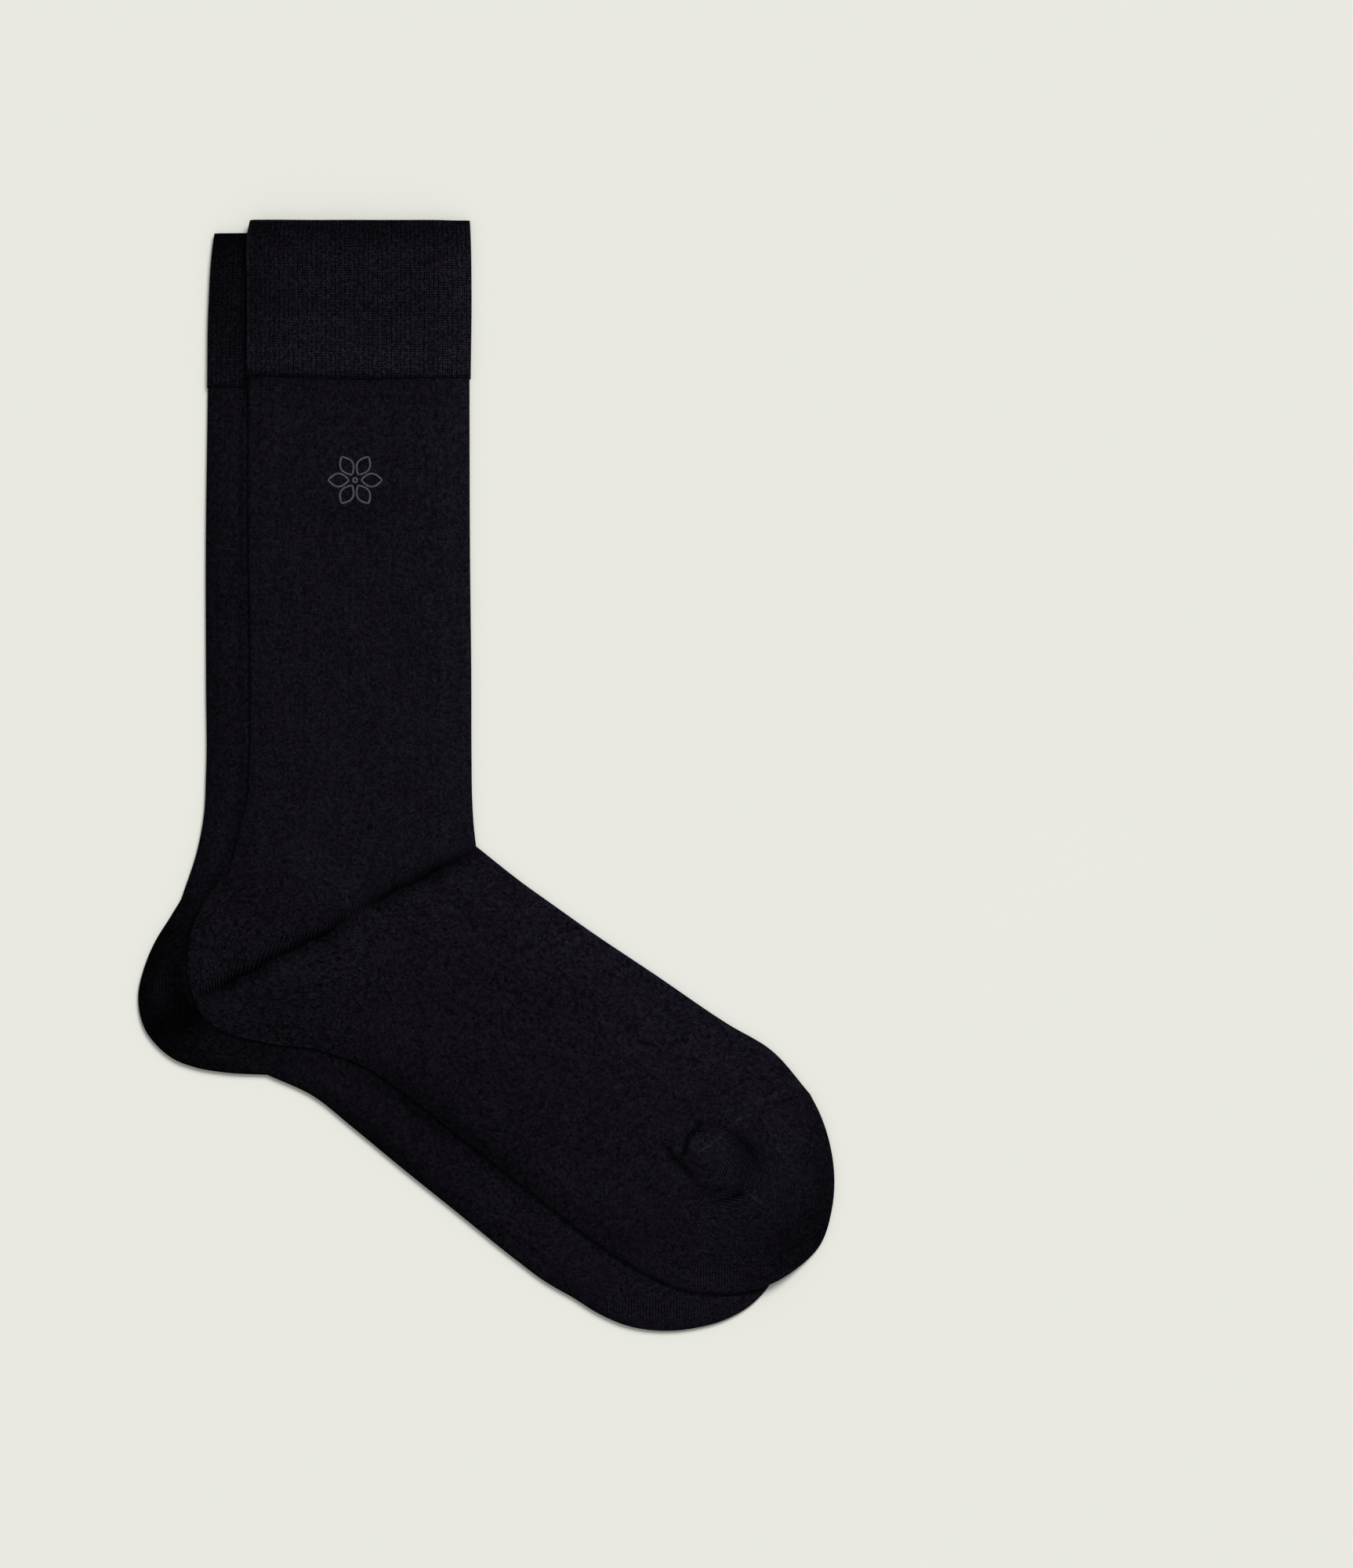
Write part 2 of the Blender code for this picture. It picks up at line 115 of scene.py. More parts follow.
SPACING = {  # finest and widest, of a piece's rows
    "cuff": (0.45, 1.6),
    "leg": (0.32, 1.9),
    "heel": (0.42, 1.5),
    "foot": (0.32, 1.7),
    "toe": (0.3, 1.25),
}
SPREAD = 0.13  # how fast it widens away from the fine places
TUBE_MARGIN, POCKET_MARGIN = 0.003, 0.004  # from a row's flat columns to its folded edge's
SHARP_ANGLE = 60.0
JOINED = 1e-8  # points closer than this, in metres, are one
BATCH = 20000  # points reckoned at a time

# of the knitting
WALE, COURSE = 0.94, 1.05
HATCH_MIDDLE = 3.0  # above a crease, where its lines have their pitch
HATCH_STEP = 0.25
HATCH_LEAST, HATCH_PAST = 0.4, 0.8  # how clear they are where it is weak, and reach past it
LINE_TONE_WIDTH = 1.2  # of a line's own
LIP_DARK_WIDTH = 1.12  # the painted shade of a crease is wider by this on its lip
SOFT_DARK = (0.18, 4.5, 2.6)  # the softer painted shade above it
DARKEST = 0.12  # least tone, where the painted shade is deepest
CUFF_COURSE = 0.92
SLANT = 0.9  # of a stitch's arms, in courses
RINGS = 48.0  # of a pocket from corner to edge, each with courses of one length
HEEL_DRAW, TOE_DRAW = 0.78, 0.94  # wales of the pockets, against those of the leg
BLACK = (0.0079, 0.0067, 0.0108)
CUFF_BLACK = (0.0072, 0.0061, 0.0099)
BRIGHT = 1.1  # what is lighter than this is drawn back towards it
LEAST = 0.02  # light, of the black's, in the deepest gap
CONTRAST = {"leg": 1.0, "heel": 1.28, "foot": 1.2, "toe": 1.1}
KNIT_ROUGHNESS = 0.92
KNIT_SPECULAR = 0.015
KNIT_SHEEN = 0.004
SHEEN_ROUGHNESS = 0.45
SHEEN_TINT = (0.82, 0.78, 1.0, 1.0)

# of the embroidery
EMBLEM_AT = (-46.1, 139.8)
PETALS, PETAL = 6, (2.4, 10.2, 5.0)  # inner and outer end, width
PETAL_POWER = 0.85  # under 1 for fuller ends
EYE_RADIUS = 0.8
LEAF_POINTS = 22
BAND_WIDTH, BAND_HEIGHT, BAND_POINTS = 0.8, 0.4, 9
BAND_SUNK, BAND_BACK = 0.06, 0.08  # how deep its edges and the middle of its back lie
THREAD_PITCH = 0.34
THREAD_GREY = (0.082, 0.078, 0.09)

# of the stage, in metres
FLOOR = (0.838, 0.838, 0.78)
FLOOR_SIZE, FLOOR_LEVEL = 6.0, -0.0002
SKY_LIGHT = 0.4
SUN_LIGHT, SUN_ANGLE = 2.72, 28.0
SUN_FROM, SUN_AT = (0.36, 0.66, 0.66), (0.4, 0.8, 1.5)
CAMERA_HEIGHT = 3.0
FRAME_HEIGHT = 0.6  # of the floor that the picture shows, from top to bottom
VIEW_MIDDLE = (0.07275, -0.003)

Row = namedtuple("Row", "back_x back_y side_x side_y front_x front_y")
Puff = namedtuple("Puff", "x y height radius")
# A crease follows its points (x, y, strength). On its left the cloth slopes
# down to its bottom, and on its right a lip stands over it. Its stitches are
# drawn apart, so it is dark about dark_at on the left, partly the stretched
# knit's own dark and partly painted shade, and the wales there show as lines,
# the hatch, as far as reach. A row of the hatch has x, and there the lines'
# pitch, how far its direction turns clockwise from +X, and how clear they are.
Crease = namedtuple(
    "Crease",
    "depth slope steep shoulder lip lip_width swell overlap "
    "dark dark_at dark_width reach hatch points",
)
# A soft trough (height under 0) or ridge through points (x, y, strength). Its
# tone darkens or lightens the cloth along it: painted shade in troughs and beside
# edges, painted light on edges, and lighter seams.
Line = namedtuple("Line", "height width tone points")
# A place where the stitches are drawn apart, so that they show as fine lines,
# which curve about (centre_x, centre_y)
Drawn = namedtuple("Drawn", "x y amount along across turn centre_x centre_y pitch")
# A patch that is a little darker or lighter than the rest, mostly painted shade or painted light
Tone = namedtuple("Tone", "x y amount radius_x radius_y")
# Rows run across cuff, leg and foot. Heel and toe are points of their folded edge.
# Presses make the flattened tube thinner.
Sock = namedtuple(
    "Sock", "name cuff leg heel foot toe seam_bow creases lines puffs drawn presses tones"
)
ROWS = {
    "cuff": Row, "leg": Row, "foot": Row, "lines": Line,
    "puffs": Puff, "presses": Puff, "drawn": Drawn, "tones": Tone,
}


def sock_of(**tables):
    """A sock, with names for the numbers in its tables' rows."""
    for table, kind in ROWS.items():
        tables[table] = [kind(*row) for row in tables[table]]
    return Sock(**tables)


TOP_SOCK = sock_of(
    name="top_sock",
    cuff=(
        (-86.5, 239, -44.5, 238.9, -2.3, 238.9), (-87.3, 235, -44.5, 235, -2.1, 235),
        (-87.5, 212, -44.6, 212, -1.7, 212), (-87.5, 179.6, -44.6, 178.1, -2, 178.9),
    ),
    leg=(
        (-86.9, 182.4, -44.8, 180, -2.5, 181.2), (-86.9, 114, -44.6, 113, -2.3, 114),
        (-86.3, 66, -44.4, 64, -1.8, 66), (-86.6, 31.8, -44.4, 25, -1.7, 34),
        (-87.5, 18, -44.4, 6, -1.5, 19), (-90.2, 6.9, -44.5, -8.5, -1, 9.5),
        (-94.4, -10.5, -44.6, -24.9, 0, 0),
    ),
    heel=(
        (-94.4, -10.5), (-99.5, -15.3), (-104.9, -23.4), (-109.1, -33.6), (-110.3, -43.8),
        (-109.7, -52.8), (-107.6, -58.6), (-104, -65.4), (-95.6, -71.1), (-86.6, -73.8),
        (-75.5, -75.9), (-60.8, -77.4),
    ),
    foot=(
        (-60.8, -77.4, -44.6, -24.9, 0, 0), (-43, -84, -23.3, -40.2, 16, -12.7),
        (-27.5, -94.2, -2, -55.5, 28.2, -21.5), (-9, -108.7, 19.4, -70.8, 46.2, -34.2),
        (11.5, -124.5, 40.7, -86.1, 68.5, -49.1), (34.5, -142.7, 62, -101.4, 96.5, -68.1),
        (46, -151.7, 72.6, -109, 113.3, -78.3), (57.8, -159.3, 83.3, -116.7, 127.8, -94.8),
    ),
    toe=(
        (127.8, -94.8), (131.8, -102.8), (135.4, -114), (137.1, -127), (136.1, -139.2),
        (131.5, -152.8), (122, -162), (108, -169.2), (94, -171.2), (80, -169.5), (68.5, -165.4),
        (57.8, -159.3),
    ),
    seam_bow=4.4,
    creases=(
        Crease(
            depth=1.3, slope=11, steep=5.2, shoulder=0.4, lip=0.55, lip_width=2.6, swell=9,
            overlap=0.5, dark=0.82, dark_at=0.35, dark_width=2.7, reach=4.8,
            hatch=(
                (-108, 1.14, -14, 0.9), (-102.7, 1.14, -10, 0.95), (-96, 1.24, 2, 1),
                (-89.6, 1.38, 15, 0.95), (-83, 1.45, 20, 1), (-76.4, 1.38, 21, 1),
                (-69.8, 1.32, 22, 0.8), (-63.2, 1.38, 15, 0.75), (-56.6, 1.27, 6, 0.75),
                (-50, 1.19, -7, 0.55), (-43.4, 1.17, -12, 0.6), (-36.8, 1.04, -13, 0.75),
                (-30.2, 1.05, -13, 0.6), (-23.6, 1, -12, 0.55), (-17, 0.96, -10, 0.6),
                (-10.4, 0.96, -9, 0.75), (2, 1, -8, 0.6),
            ),
            points=(
                (-106.5, -58.6, 0.3), (-103, -57.2, 0.5), (-97, -53.9, 0.8), (-91, -50.2, 1),
                (-84, -47.6, 0.9), (-79.5, -44.8, 1.05), (-74, -42, 0.85), (-69, -39.6, 0.95),
                (-63, -36.4, 1.1), (-58, -34.4, 1.1), (-54, -31.6, 0.95), (-50, -28, 0.75),
                (-46.5, -25.6, 0.5), (-42.5, -23.8, 0.55), (-38, -21.8, 0.75), (-34.5, -20, 0.95),
                (-30.5, -17, 1), (-25, -15, 0.85), (-20, -12.4, 1), (-15, -10, 1.1),
                (-10.2, -7.8, 0.9), (-5, -5.4, 0.75), (0.5, -1.6, 0.35),
            ),
        ),
    ),
    lines=(
        # the short crease before the toe, with painted shade in it, and a soft ridge beside it, a
        # little lighter
        (-1.3, 1.2, -0.5, (
            (71.5, -113, 0), (73.6, -116.3, 0.9), (75.3, -119.3, 1), (77.9, -121.8, 1),
            (80.9, -124.8, 0.8), (82.6, -127, 0.5), (84, -129.5, 0),
        )),
        (0.4, 2, 0.06, ((66.5, -115, 0), (71.5, -122, 1), (77, -129.5, 0.8), (81, -135, 0))),
        # round the pucker at the toe's corner, with painted shade in its troughs
        (-1.5, 0.9, -0.8, (
            (86.6, -104.6, 0), (85.8, -106, 0.6), (83.9, -108.6, 0.9), (81.3, -111.1, 1),
            (80.3, -113.7, 1), (79.8, -117.1, 0.9), (78.8, -118.4, 0.5), (77.5, -119.8, 0),
        )),
        (-0.9, 2.2, -0.36, (
            (86.5, -105.8, 0), (88.2, -106.8, 0.35), (92.9, -107.7, 0.6), (96.3, -109.4, 0.9),
            (99.8, -112, 1), (102.3, -114.1, 1), (104.5, -116.7, 1), (106.6, -119.7, 0.8),
            (107.5, -122.3, 0.6), (108, -126.5, 0),
        )),
        (-0.5, 2.2, -0.32, (
            (82.5, -126, 0.3), (85.5, -130.5, 0.8), (90, -132.6, 1), (96, -132.6, 0.8),
            (101, -132.2, 0.6), (104, -130.5, 0),
        )),
        (-0.5, 0.7, -0.45, (
            (81.3, -120.2, 0.3), (83.2, -121.2, 1), (85.2, -122.4, 0.8), (87.2, -124.2, 0),
        )),
        (-0.7, 0.9, -0.5, (
            (89.5, -137.4, 0), (93, -136.3, 0.6), (97, -134.9, 0.9), (101, -133.2, 1),
            (103, -132, 0),
        )),
        (0.35, 1.8, 0.05, ((86, -139.6, 0), (93.5, -139.4, 0.9), (101.5, -137.4, 0))),
        # the toe's gore line, and the light stretches of its seam
        (0.3, 0.7, 0.45, (
            (102, -130.6, 0), (103.8, -132.4, 1), (106.6, -134.8, 1), (109, -137, 0.3),
        )),
        (0.1, 0.5, 0.15, (
            (84.5, -118.5, 0.2), (92.5, -122.8, 0.3), (110, -137, 0.8), (117.2, -143.1, 0.9),
            (131, -153, 0.4),
        )),
        (0.2, 0.5, 0.8, (
            (82.2, -118, 0.4), (86.5, -116.3, 0.8), (89.9, -113.7, 1), (92, -112, 1),
            (94.2, -110.3, 0.7), (96, -108.6, 0),
        )),
        (0.25, 0.65, 0.8, (
            (96.4, -108, 0.2), (97.6, -106.8, 1), (99.8, -104.7, 1.3), (102.3, -103.4, 1.1),
            (104.6, -102.8, 0.3),
        )),
        (0.15, 1.2, 0.22, (
            (105, -101, 0.2), (108, -98.4, 1), (113, -96.4, 0.9), (118.2, -92.7, 0.6),
            (124, -89.4, 0),
        )),
        # where the heel pocket is joined on
        (0.2, 0.5, 0.8, (
            (-48.9, -14, 0.2), (-49.3, -18, 1), (-48.9, -21.5, 0.7), (-48.5, -26.5, 0.9),
        )),
        (0.15, 0.55, 0.45, (
            (-40, -24.5, 0.2), (-38.1, -26, 0.8), (-32.1, -31.1, 1), (-29.6, -34.1, 0.8),
            (-27, -37.5, 0),
        )),
        (0.06, 0.6, 0.08, ((-44.6, -27.5, 0.9), (-49.5, -46, 0.9), (-57.5, -70, 0.7))),
        (-0.35, 1, -0.2, ((-63.5, -73.6, 0), (-60.8, -76, 1), (-59.5, -77.2, 1))),
        # painted shadow under the cuff's lower edge
        (-0.2, 1, -0.12, (
            (-88.5, 179.1, 1.1), (-72, 178.3, 1), (-44.6, 177.4, 1), (-16, 177.9, 0.8),
            (-1, 178.3, 0.3),
        )),
        (0, 3, -0.2, ((-88.5, 179.6, 1.2), (-44.6, 178, 1), (-1, 178.8, 0.4))),
        # painted highlights along the leg's front edge and the cuff's back edge
        (0, 2.2, 0.12, ((-4.6, 236, 1.3), (-4.4, 184, 1.2), (-4.2, 100, 0.9), (-4, 20, 0.8))),
        (0, 0.9, 0.7, ((-87, 238, 0.7), (-87.6, 212, 0.8), (-87.4, 184, 1))),
        # towards the sole's edge, which lies low: painted shade a little inside it, and painted
        # light on the edge itself, lifting its shade
        (0, 2.4, -0.2, (
            (-40, -84, 0), (-30, -90.6, 0.7), (-18, -100, 1), (-5, -110.5, 1), (10, -122, 0.7),
            (22, -131.5, 0),
        )),
        (0, 0.8, 1, (
            (-110.3, -43.8, 0.1), (-109.7, -52.8, 0.1), (-104, -65.4, 0.2), (-95.6, -71.1, 0.4),
            (-86.6, -73.8, 0.7), (-75.5, -75.9, 0.7), (-60.8, -77.4, 0.5), (-43, -84, 0.3),
            (-27.5, -94.2, 0.4), (-9, -108.7, 0.5), (11.5, -124.5, 0.4), (34.5, -142.7, 0.2),
            (57.8, -159.3, 0),
        )),
        # painted shade round the back of the heel and along the sole
        (0, 3, -0.16, (
            (-96, -12.5, 0.4), (-104, -24, 1), (-108.5, -34, 1), (-109.6, -44, 1), (-109, -53, 1),
            (-107, -59, 0.7), (-100, -67, 0.3),
        )),
        (0, 7.5, -0.28, (
            (-64, -77, 0.2), (-44, -84, 0.8), (-28, -94, 1), (-9, -109, 1), (12, -125, 0.8),
            (35, -143, 0.5), (58, -159, 0.2),
        )),
        # painted light along the instep's edge, the side towards the sun
        (0, 6, 0.12, (
            (12, -16, 0.4), (30, -31, 0.8), (52, -46, 0.9), (74, -61, 1.1), (96, -76, 0.9),
            (110, -88, 0.4),
        )),
        # slack in leg and foot
        (-0.25, 5, 0, ((-70, 8, 0), (-52, -6, 1), (-30, 2, 0))),
        (0.3, 6, 0, ((-88, 22, 0), (-66, 30, 1), (-40, 24, 0))),
        (-0.3, 5, 0, ((-12, -22, 0), (2, -40, 1), (4, -62, 0))),
        (0.35, 7, 0, ((-34, -40, 0), (-14, -62, 1), (10, -88, 0))),
        (-0.25, 6, 0, ((30, -96, 0), (46, -112, 1), (56, -134, 0))),
        (0.3, 7, 0, ((50, -70, 0), (70, -92, 1), (84, -104, 0))),
        (0.25, 8, 0, ((-70, 160, 0), (-62, 120, 1), (-66, 70, 0))),
        (-0.2, 7, 0, ((-24, 150, 0), (-30, 100, 1), (-24, 50, 0))),
        (-0.3, 4, 0, ((-101, -30, 0), (-90, -33, 1), (-76, -30, 0))),
    ),
    puffs=(
        (-78, -20, 0.6, 14), (-78, -62, 0.6, 14), (88.8, -117, 1.5, 7.2), (112, -120, 0.45, 8),
        (108, -152, 0.45, 14), (-46.1, 139.8, 0.3, 11),
    ),
    drawn=(
        # arcs past the toe's pucker
        *((*arc, 68.5, -137.5, 0.96) for arc in (
            (99.5, -113.5, 1, 9, 4.5, -50), (108, -122, 0.85, 10, 6, -64),
            (96.5, -122.5, 0.9, 6.5, 4.5, -66), (115.5, -131, 0.7, 10, 5.5, -80),
            (117.2, -139, 0.6, 6, 5, -88), (93, -107.5, 0.85, 6, 2.6, -20),
            (105.5, -95.5, 0.4, 5, 4, -50), (124, -109.5, 0.4, 7, 4, -60),
        )),
        # its short crease, left arc and little fold
        (77.5, -125.5, 0.6, 8, 4.2, -45, 26.7, -185, 0.86),
        (81, -111.5, 0.9, 8, 2.2, 62, 26.7, -185, 1),
        (96.5, -135, 0.95, 6.5, 2.2, 12, 40, -520, 1.15),
        (85, -122, 0.7, 4, 2, -35, 26.7, -185, 1),
        # stitches drawn apart along the folded edge
        (93, -163.5, 0.5, 13, 5.5, 0, 420, -163, 1.15),
        (131, -128.5, 0.5, 5, 6, 0, 131, -520, 0.8),
        # below the ankle's crease
        (-75, -50, 0.55, 9.5, 4.2, 25, -160, -335, 0.93),
        (-20, -19.5, 0.3, 8, 3.4, 28, 237, 287, 0.95), (-3.5, -14, 0.35, 5, 4, 0, 226, 314, 0.92),
        (-99.5, -59, 0.65, 6.5, 3.2, 28, -272.7, -159, 1.1),
        (-46, -32, 0.35, 6, 4, 28, -80, -400, 1),
    ),
    presses=(
        (-80, -75, 0.3, 14), (-55, -80, 0.35, 16), (-35, -90, 0.35, 16), (-15, -104, 0.25, 16),
    ),
    # patches of painted shade and light: darker to the left, under the emblem as its painted
    # shadow, round the heel, along the sole and at the toe's rim, lighter to the right and on the
    # toe's pucker as a painted highlight; the cuff's mouth is also darker
    tones=(
        (-44, 240, -0.56, 90, 11), (-44, 206.5, -0.12, 60, 2), (-44, 186.5, 0.2, 60, 5),
        (-86, 214, -0.28, 14, 30), (-84, 60, -0.07, 14, 110), (-8, 120, 0.07, 16, 90),
        (-46.1, 126.5, -0.22, 10, 3.6), (-38, 131, -0.12, 5, 6), (-90, -30, -0.12, 22, 20),
        (-76, -64, -0.2, 40, 14), (-70, -48, 0.12, 16, 6), (0, -84, -0.15, 46, 34),
        (14, -118, -0.14, 44, 16), (52, -150, -0.18, 26, 12), (134, -132, -0.42, 9, 30),
        (122, -147, -0.28, 12, 12), (-92, 0, -0.22, 8, 15), (112, -158, -0.25, 22, 12),
        (85.6, -114, 0.4, 4.2, 3.6), (91, -119, 0.16, 6, 5), (104, -120, -0.24, 7, 12),
        (74, -84, 0.07, 30, 18), (124, -150, -0.14, 12, 12), (90, -134, -0.12, 14, 8),
    ),
)

BOTTOM_SOCK = sock_of(
    name="bottom_sock",
    cuff=(
        (-100.2, 234, -59.4, 234.2, -17.3, 234.4), (-101, 228, -59.5, 228, -17.1, 228),
        (-102.4, 206, -59.8, 206, -17, 206), (-102.9, 175.6, -60, 174.6, -17.2, 175.3),
    ),
    leg=(
        (-102.6, 175.6, -60.2, 174.6, -18.2, 175.3), (-103.4, 110, -60.8, 106, -18.5, 105),
        (-103.3, 62, -61.2, 58, -18.7, 60), (-103.3, 28, -61.6, 14, -18.7, 20),
        (-104.2, 11.4, -61.9, -4.5, -18.5, 6), (-106.8, -2, -62.2, -19.5, -18.1, -3),
        (-112.8, -20.2, -62.5, -36.6, -17.3, -12.5),
    ),
    heel=(
        (-112.8, -20.2), (-117.2, -27.4), (-122.4, -35.7), (-127, -46.5), (-129.2, -56.4),
        (-128.6, -64.4), (-126.4, -70.6), (-122.2, -76.2), (-116, -81.3), (-107.6, -84.6),
        (-96, -86.6), (-79.8, -87.5),
    ),
    foot=(
        (-79.8, -87.5, -62.5, -36.6, -17.3, -12.5), (-62.2, -95.7, -41.5, -52.4, -1.5, -25.5),
        (-47.2, -107.6, -20.5, -68.2, 10.9, -34.4), (-28.8, -122.8, 0.7, -84, 28.7, -47.5),
        (-8.3, -139.3, 21.8, -99.8, 50.4, -63.2), (14.4, -157.6, 42.8, -115.6, 78.1, -82.9),
        (25.7, -166.1, 53.3, -123.4, 94.3, -93.8), (37.4, -172.9, 63.9, -131.4, 109.5, -110),
    ),
    toe=(
        (109.5, -110), (113.4, -118.5), (116.6, -130), (118.2, -143), (117.2, -155),
        (113.2, -166.4), (106, -174.8), (96.6, -180.6), (84.5, -184.2), (71.2, -185.4),
        (58, -183.5), (47, -178.9), (37.4, -172.9),
    ),
    seam_bow=4,
    creases=(
        Crease(
            depth=1.3, slope=10, steep=4.5, shoulder=0.3, lip=0.5, lip_width=2.4, swell=9,
            overlap=0.7, dark=0.65, dark_at=0.35, dark_width=2.4, reach=4.8,
            hatch=(
                (-128, 1.2, -10, 0.9), (-110, 1.25, 5, 0.9), (-96, 1.4, 20, 0.9),
                (-60, 1.2, 0, 0.7), (-16, 1, -9, 0.6),
            ),
            points=(
                (-124, -71.5, 0.1), (-112, -66, 0.25), (-98, -58.5, 0.7), (-76, -45.5, 0.9),
                (-61, -36, 0.3), (-48, -29, 0.8), (-30, -19.5, 0.9), (-16.5, -12, 0.3),
            ),
        ),
    ),
    lines=(
        (0.12, 0.5, 0.2, ((65, -133, 0.5), (83, -146, 1), (98, -159, 0.9), (111, -169, 0.4))),
        (0.3, 6, 0, ((-95, 20, 0), (-98, 70, 1), (-96, 130, 0))),
        (-0.3, 4, 0, ((-118, -34, 0), (-119, -48, 1), (-117, -62, 0))),
        (0.3, 4, 0, ((-40, -108, 0), (-14, -130, 1), (14, -152, 0))),
        # painted shadow beside the top sock's back and sole, which lie on it, and a thin painted
        # light beside its back edge
        (-0.2, 1.5, -0.5, (
            (-88.4, 238, 0.4), (-88.9, 212, 0.35), (-88.9, 182, 0.5), (-88.2, 172, 0.15),
            (-87.6, 31, 0.15), (-91.4, 6, 0.35), (-100.8, -16, 0.5), (-110.4, -34, 0.4),
            (-111, -54, 0.2), (-105, -66.4, 0),
        )),
        (0, 1.2, -0.22, ((-89.6, 172, 1), (-89.2, 90, 0.8), (-89, 31, 0.9), (-91.6, 12, 0.6))),
        (0, 4, -0.34, (
            (-93, 0, 0), (-98, -13.5, 0.4), (-107, -24, 0.6), (-112.5, -36, 0.7),
            (-114, -47, 0.7), (-112.5, -57, 0.8), (-109, -64, 0.8), (-101, -70, 0.8),
            (-84, -76, 1.1), (-66, -79, 0.75), (-49, -84, 0.55), (-33, -92.5, 0.8),
            (-19, -103.5, 1.1), (-5, -114.5, 0.55), (10, -125.5, 0.6), (24, -136.5, 0.45),
            (36, -146, 0),
        )),
        (0, 1.4, -0.28, (
            (-66, -79.2, 0.2), (-49, -84.3, 0.5), (-33.5, -92.3, 0.9), (-20, -102.9, 1.1),
            (-6, -113.7, 0.9), (9, -125.2, 0.8), (23, -136, 0.6), (37, -146.6, 0.3),
            (56, -161.2, 0.1),
        )),
        (0, 0.8, 0.35, ((-88.1, 170, 0.8), (-87.6, 90, 1), (-87.4, 40, 0.8), (-88.2, 22, 0))),
        # painted light along the top one's edge, lifting the contact shade that it casts on this
        # one
        (0, 0.9, 1.1, (
            (-108, -30, 0.1), (-110.9, -45, 0.3), (-110.3, -54, 0.35), (-106.8, -62, 0.4),
            (-101.2, -68.7, 0.6), (-95, -72.2, 0.5), (-84.3, -75.1, 0.4), (-66, -78.2, 0.2),
            (-33, -92, 0.1), (-6, -112.8, 0.25), (10, -125, 0.3), (24, -136, 0.5),
            (38, -146.8, 0.5), (57.4, -160.6, 0.6), (68.2, -166.8, 0.6), (80, -170.9, 0.6),
            (94, -172.6, 0.6), (104, -171.8, 0.3),
        )),
        # painted shade round its own folded edge and along its sole
        (0, 4, -0.33, (
            (-103.6, 170, 0.5), (-103.6, 90, 0.6), (-103.6, 20, 0.5), (-107, -2, 0.9),
            (-113, -20.2, 1), (-122.5, -35.7, 0.9), (-129, -56, 1.05), (-126.4, -70.6, 0.85),
            (-116, -81.3, 0.6), (-96, -86.6, 0.4), (-79.8, -87.5, 0.65), (-62, -95.7, 0.9),
            (-47, -107.6, 0.9), (-29, -122.8, 0.8), (-8, -139.3, 0.7), (14, -157.6, 0.55),
            (37, -173, 0.2), (58, -183.5, 0.1),
        )),
        (0, 12, -0.25, (
            (-106, -84, 0.3), (-80, -87.5, 0.3), (-55, -100, 0.8), (-36, -116, 1.1),
            (-17, -131, 1.1), (1, -147, 1), (20, -162, 0.75), (41, -175, 0.6), (70, -184, 0.3),
        )),
    ),
    puffs=((-97, -72, 0.4, 12), (84, -174, 0.4, 12)),
    drawn=(
        (-121, -56, 0.7, 4, 14, 0, -78, -52, 1.15), (70, -177, 0.5, 26, 5, 0, 420, -177, 1.15),
    ),
    presses=(),
    # painted shade where this sock lies under the other and in its shade, darkest at its cuff,
    # down its left side and at its heel
    tones=(
        (-96, 238, -0.6, 30, 14), (-96, 208, -0.46, 16, 30), (-100, 80, -0.27, 14, 120),
        (-121, -44, -0.55, 15, 30), (-114, -70, -0.55, 13, 12), (-92, -84, -0.25, 22, 9),
        (-40, -108, -0.1, 40, 20),
    ),
)

# ------------------------------------------------------- curves through tables


def smooth_step(t):
    t = np.clip(t, 0.0, 1.0)
    return t * t * (3.0 - 2.0 * t)


def bell(t):
    return np.exp(-(t**2))


def hump(away, height, middle, width):
    return height * bell((away - middle) / width)


def left_of(direction):
    return np.array([-direction[1], direction[0]])


def dense_curve(table, steps=40):
    """Points of a smooth curve through a table's rows, and the length run at each."""
    points = np.array(table, float)
    gaps = np.linalg.norm(np.diff(points, axis=0), axis=1)
    slopes = np.diff(points, axis=0) / gaps[:, None]
    tangents = np.vstack([slopes[:1], slopes[1:], slopes[-1:]])
    before, after = gaps[:-1, None], gaps[1:, None]
    tangents[1:-1] = (after * slopes[:-1] + before * slopes[1:]) / (before + after)
    rows = [points[:1]]
    t = (np.arange(1, steps + 1) / steps)[:, None]
    for i in range(len(points) - 1):
        start = (1.0 + 2.0 * t) * (1.0 - t) ** 2 * points[i]
        end = t * t * (3.0 - 2.0 * t) * points[i + 1]
        leaving = t * (1.0 - t) ** 2 * gaps[i] * tangents[i]
        arriving = t * t * (1.0 - t) * gaps[i] * tangents[i + 1]
        rows.append(start + end + leaving - arriving)
    rows = np.vstack(rows)
    tracks = rows.reshape(len(rows), -1, 2)
    moved = np.linalg.norm(np.diff(tracks, axis=0), axis=2).max(axis=1)
    return rows, np.concatenate([[0.0], np.cumsum(moved)])


def spaced(length, fine_at, finest, coarsest):
    """Places along a length, close together near the given ones and wider away from them."""
    places = [0.0]
    while places[-1] < length:
        near = min(abs(places[-1] - place) for place in fine_at)
        places.append(places[-1] + min(finest + SPREAD * near, coarsest))
    return np.array(places) * length / places[-1]


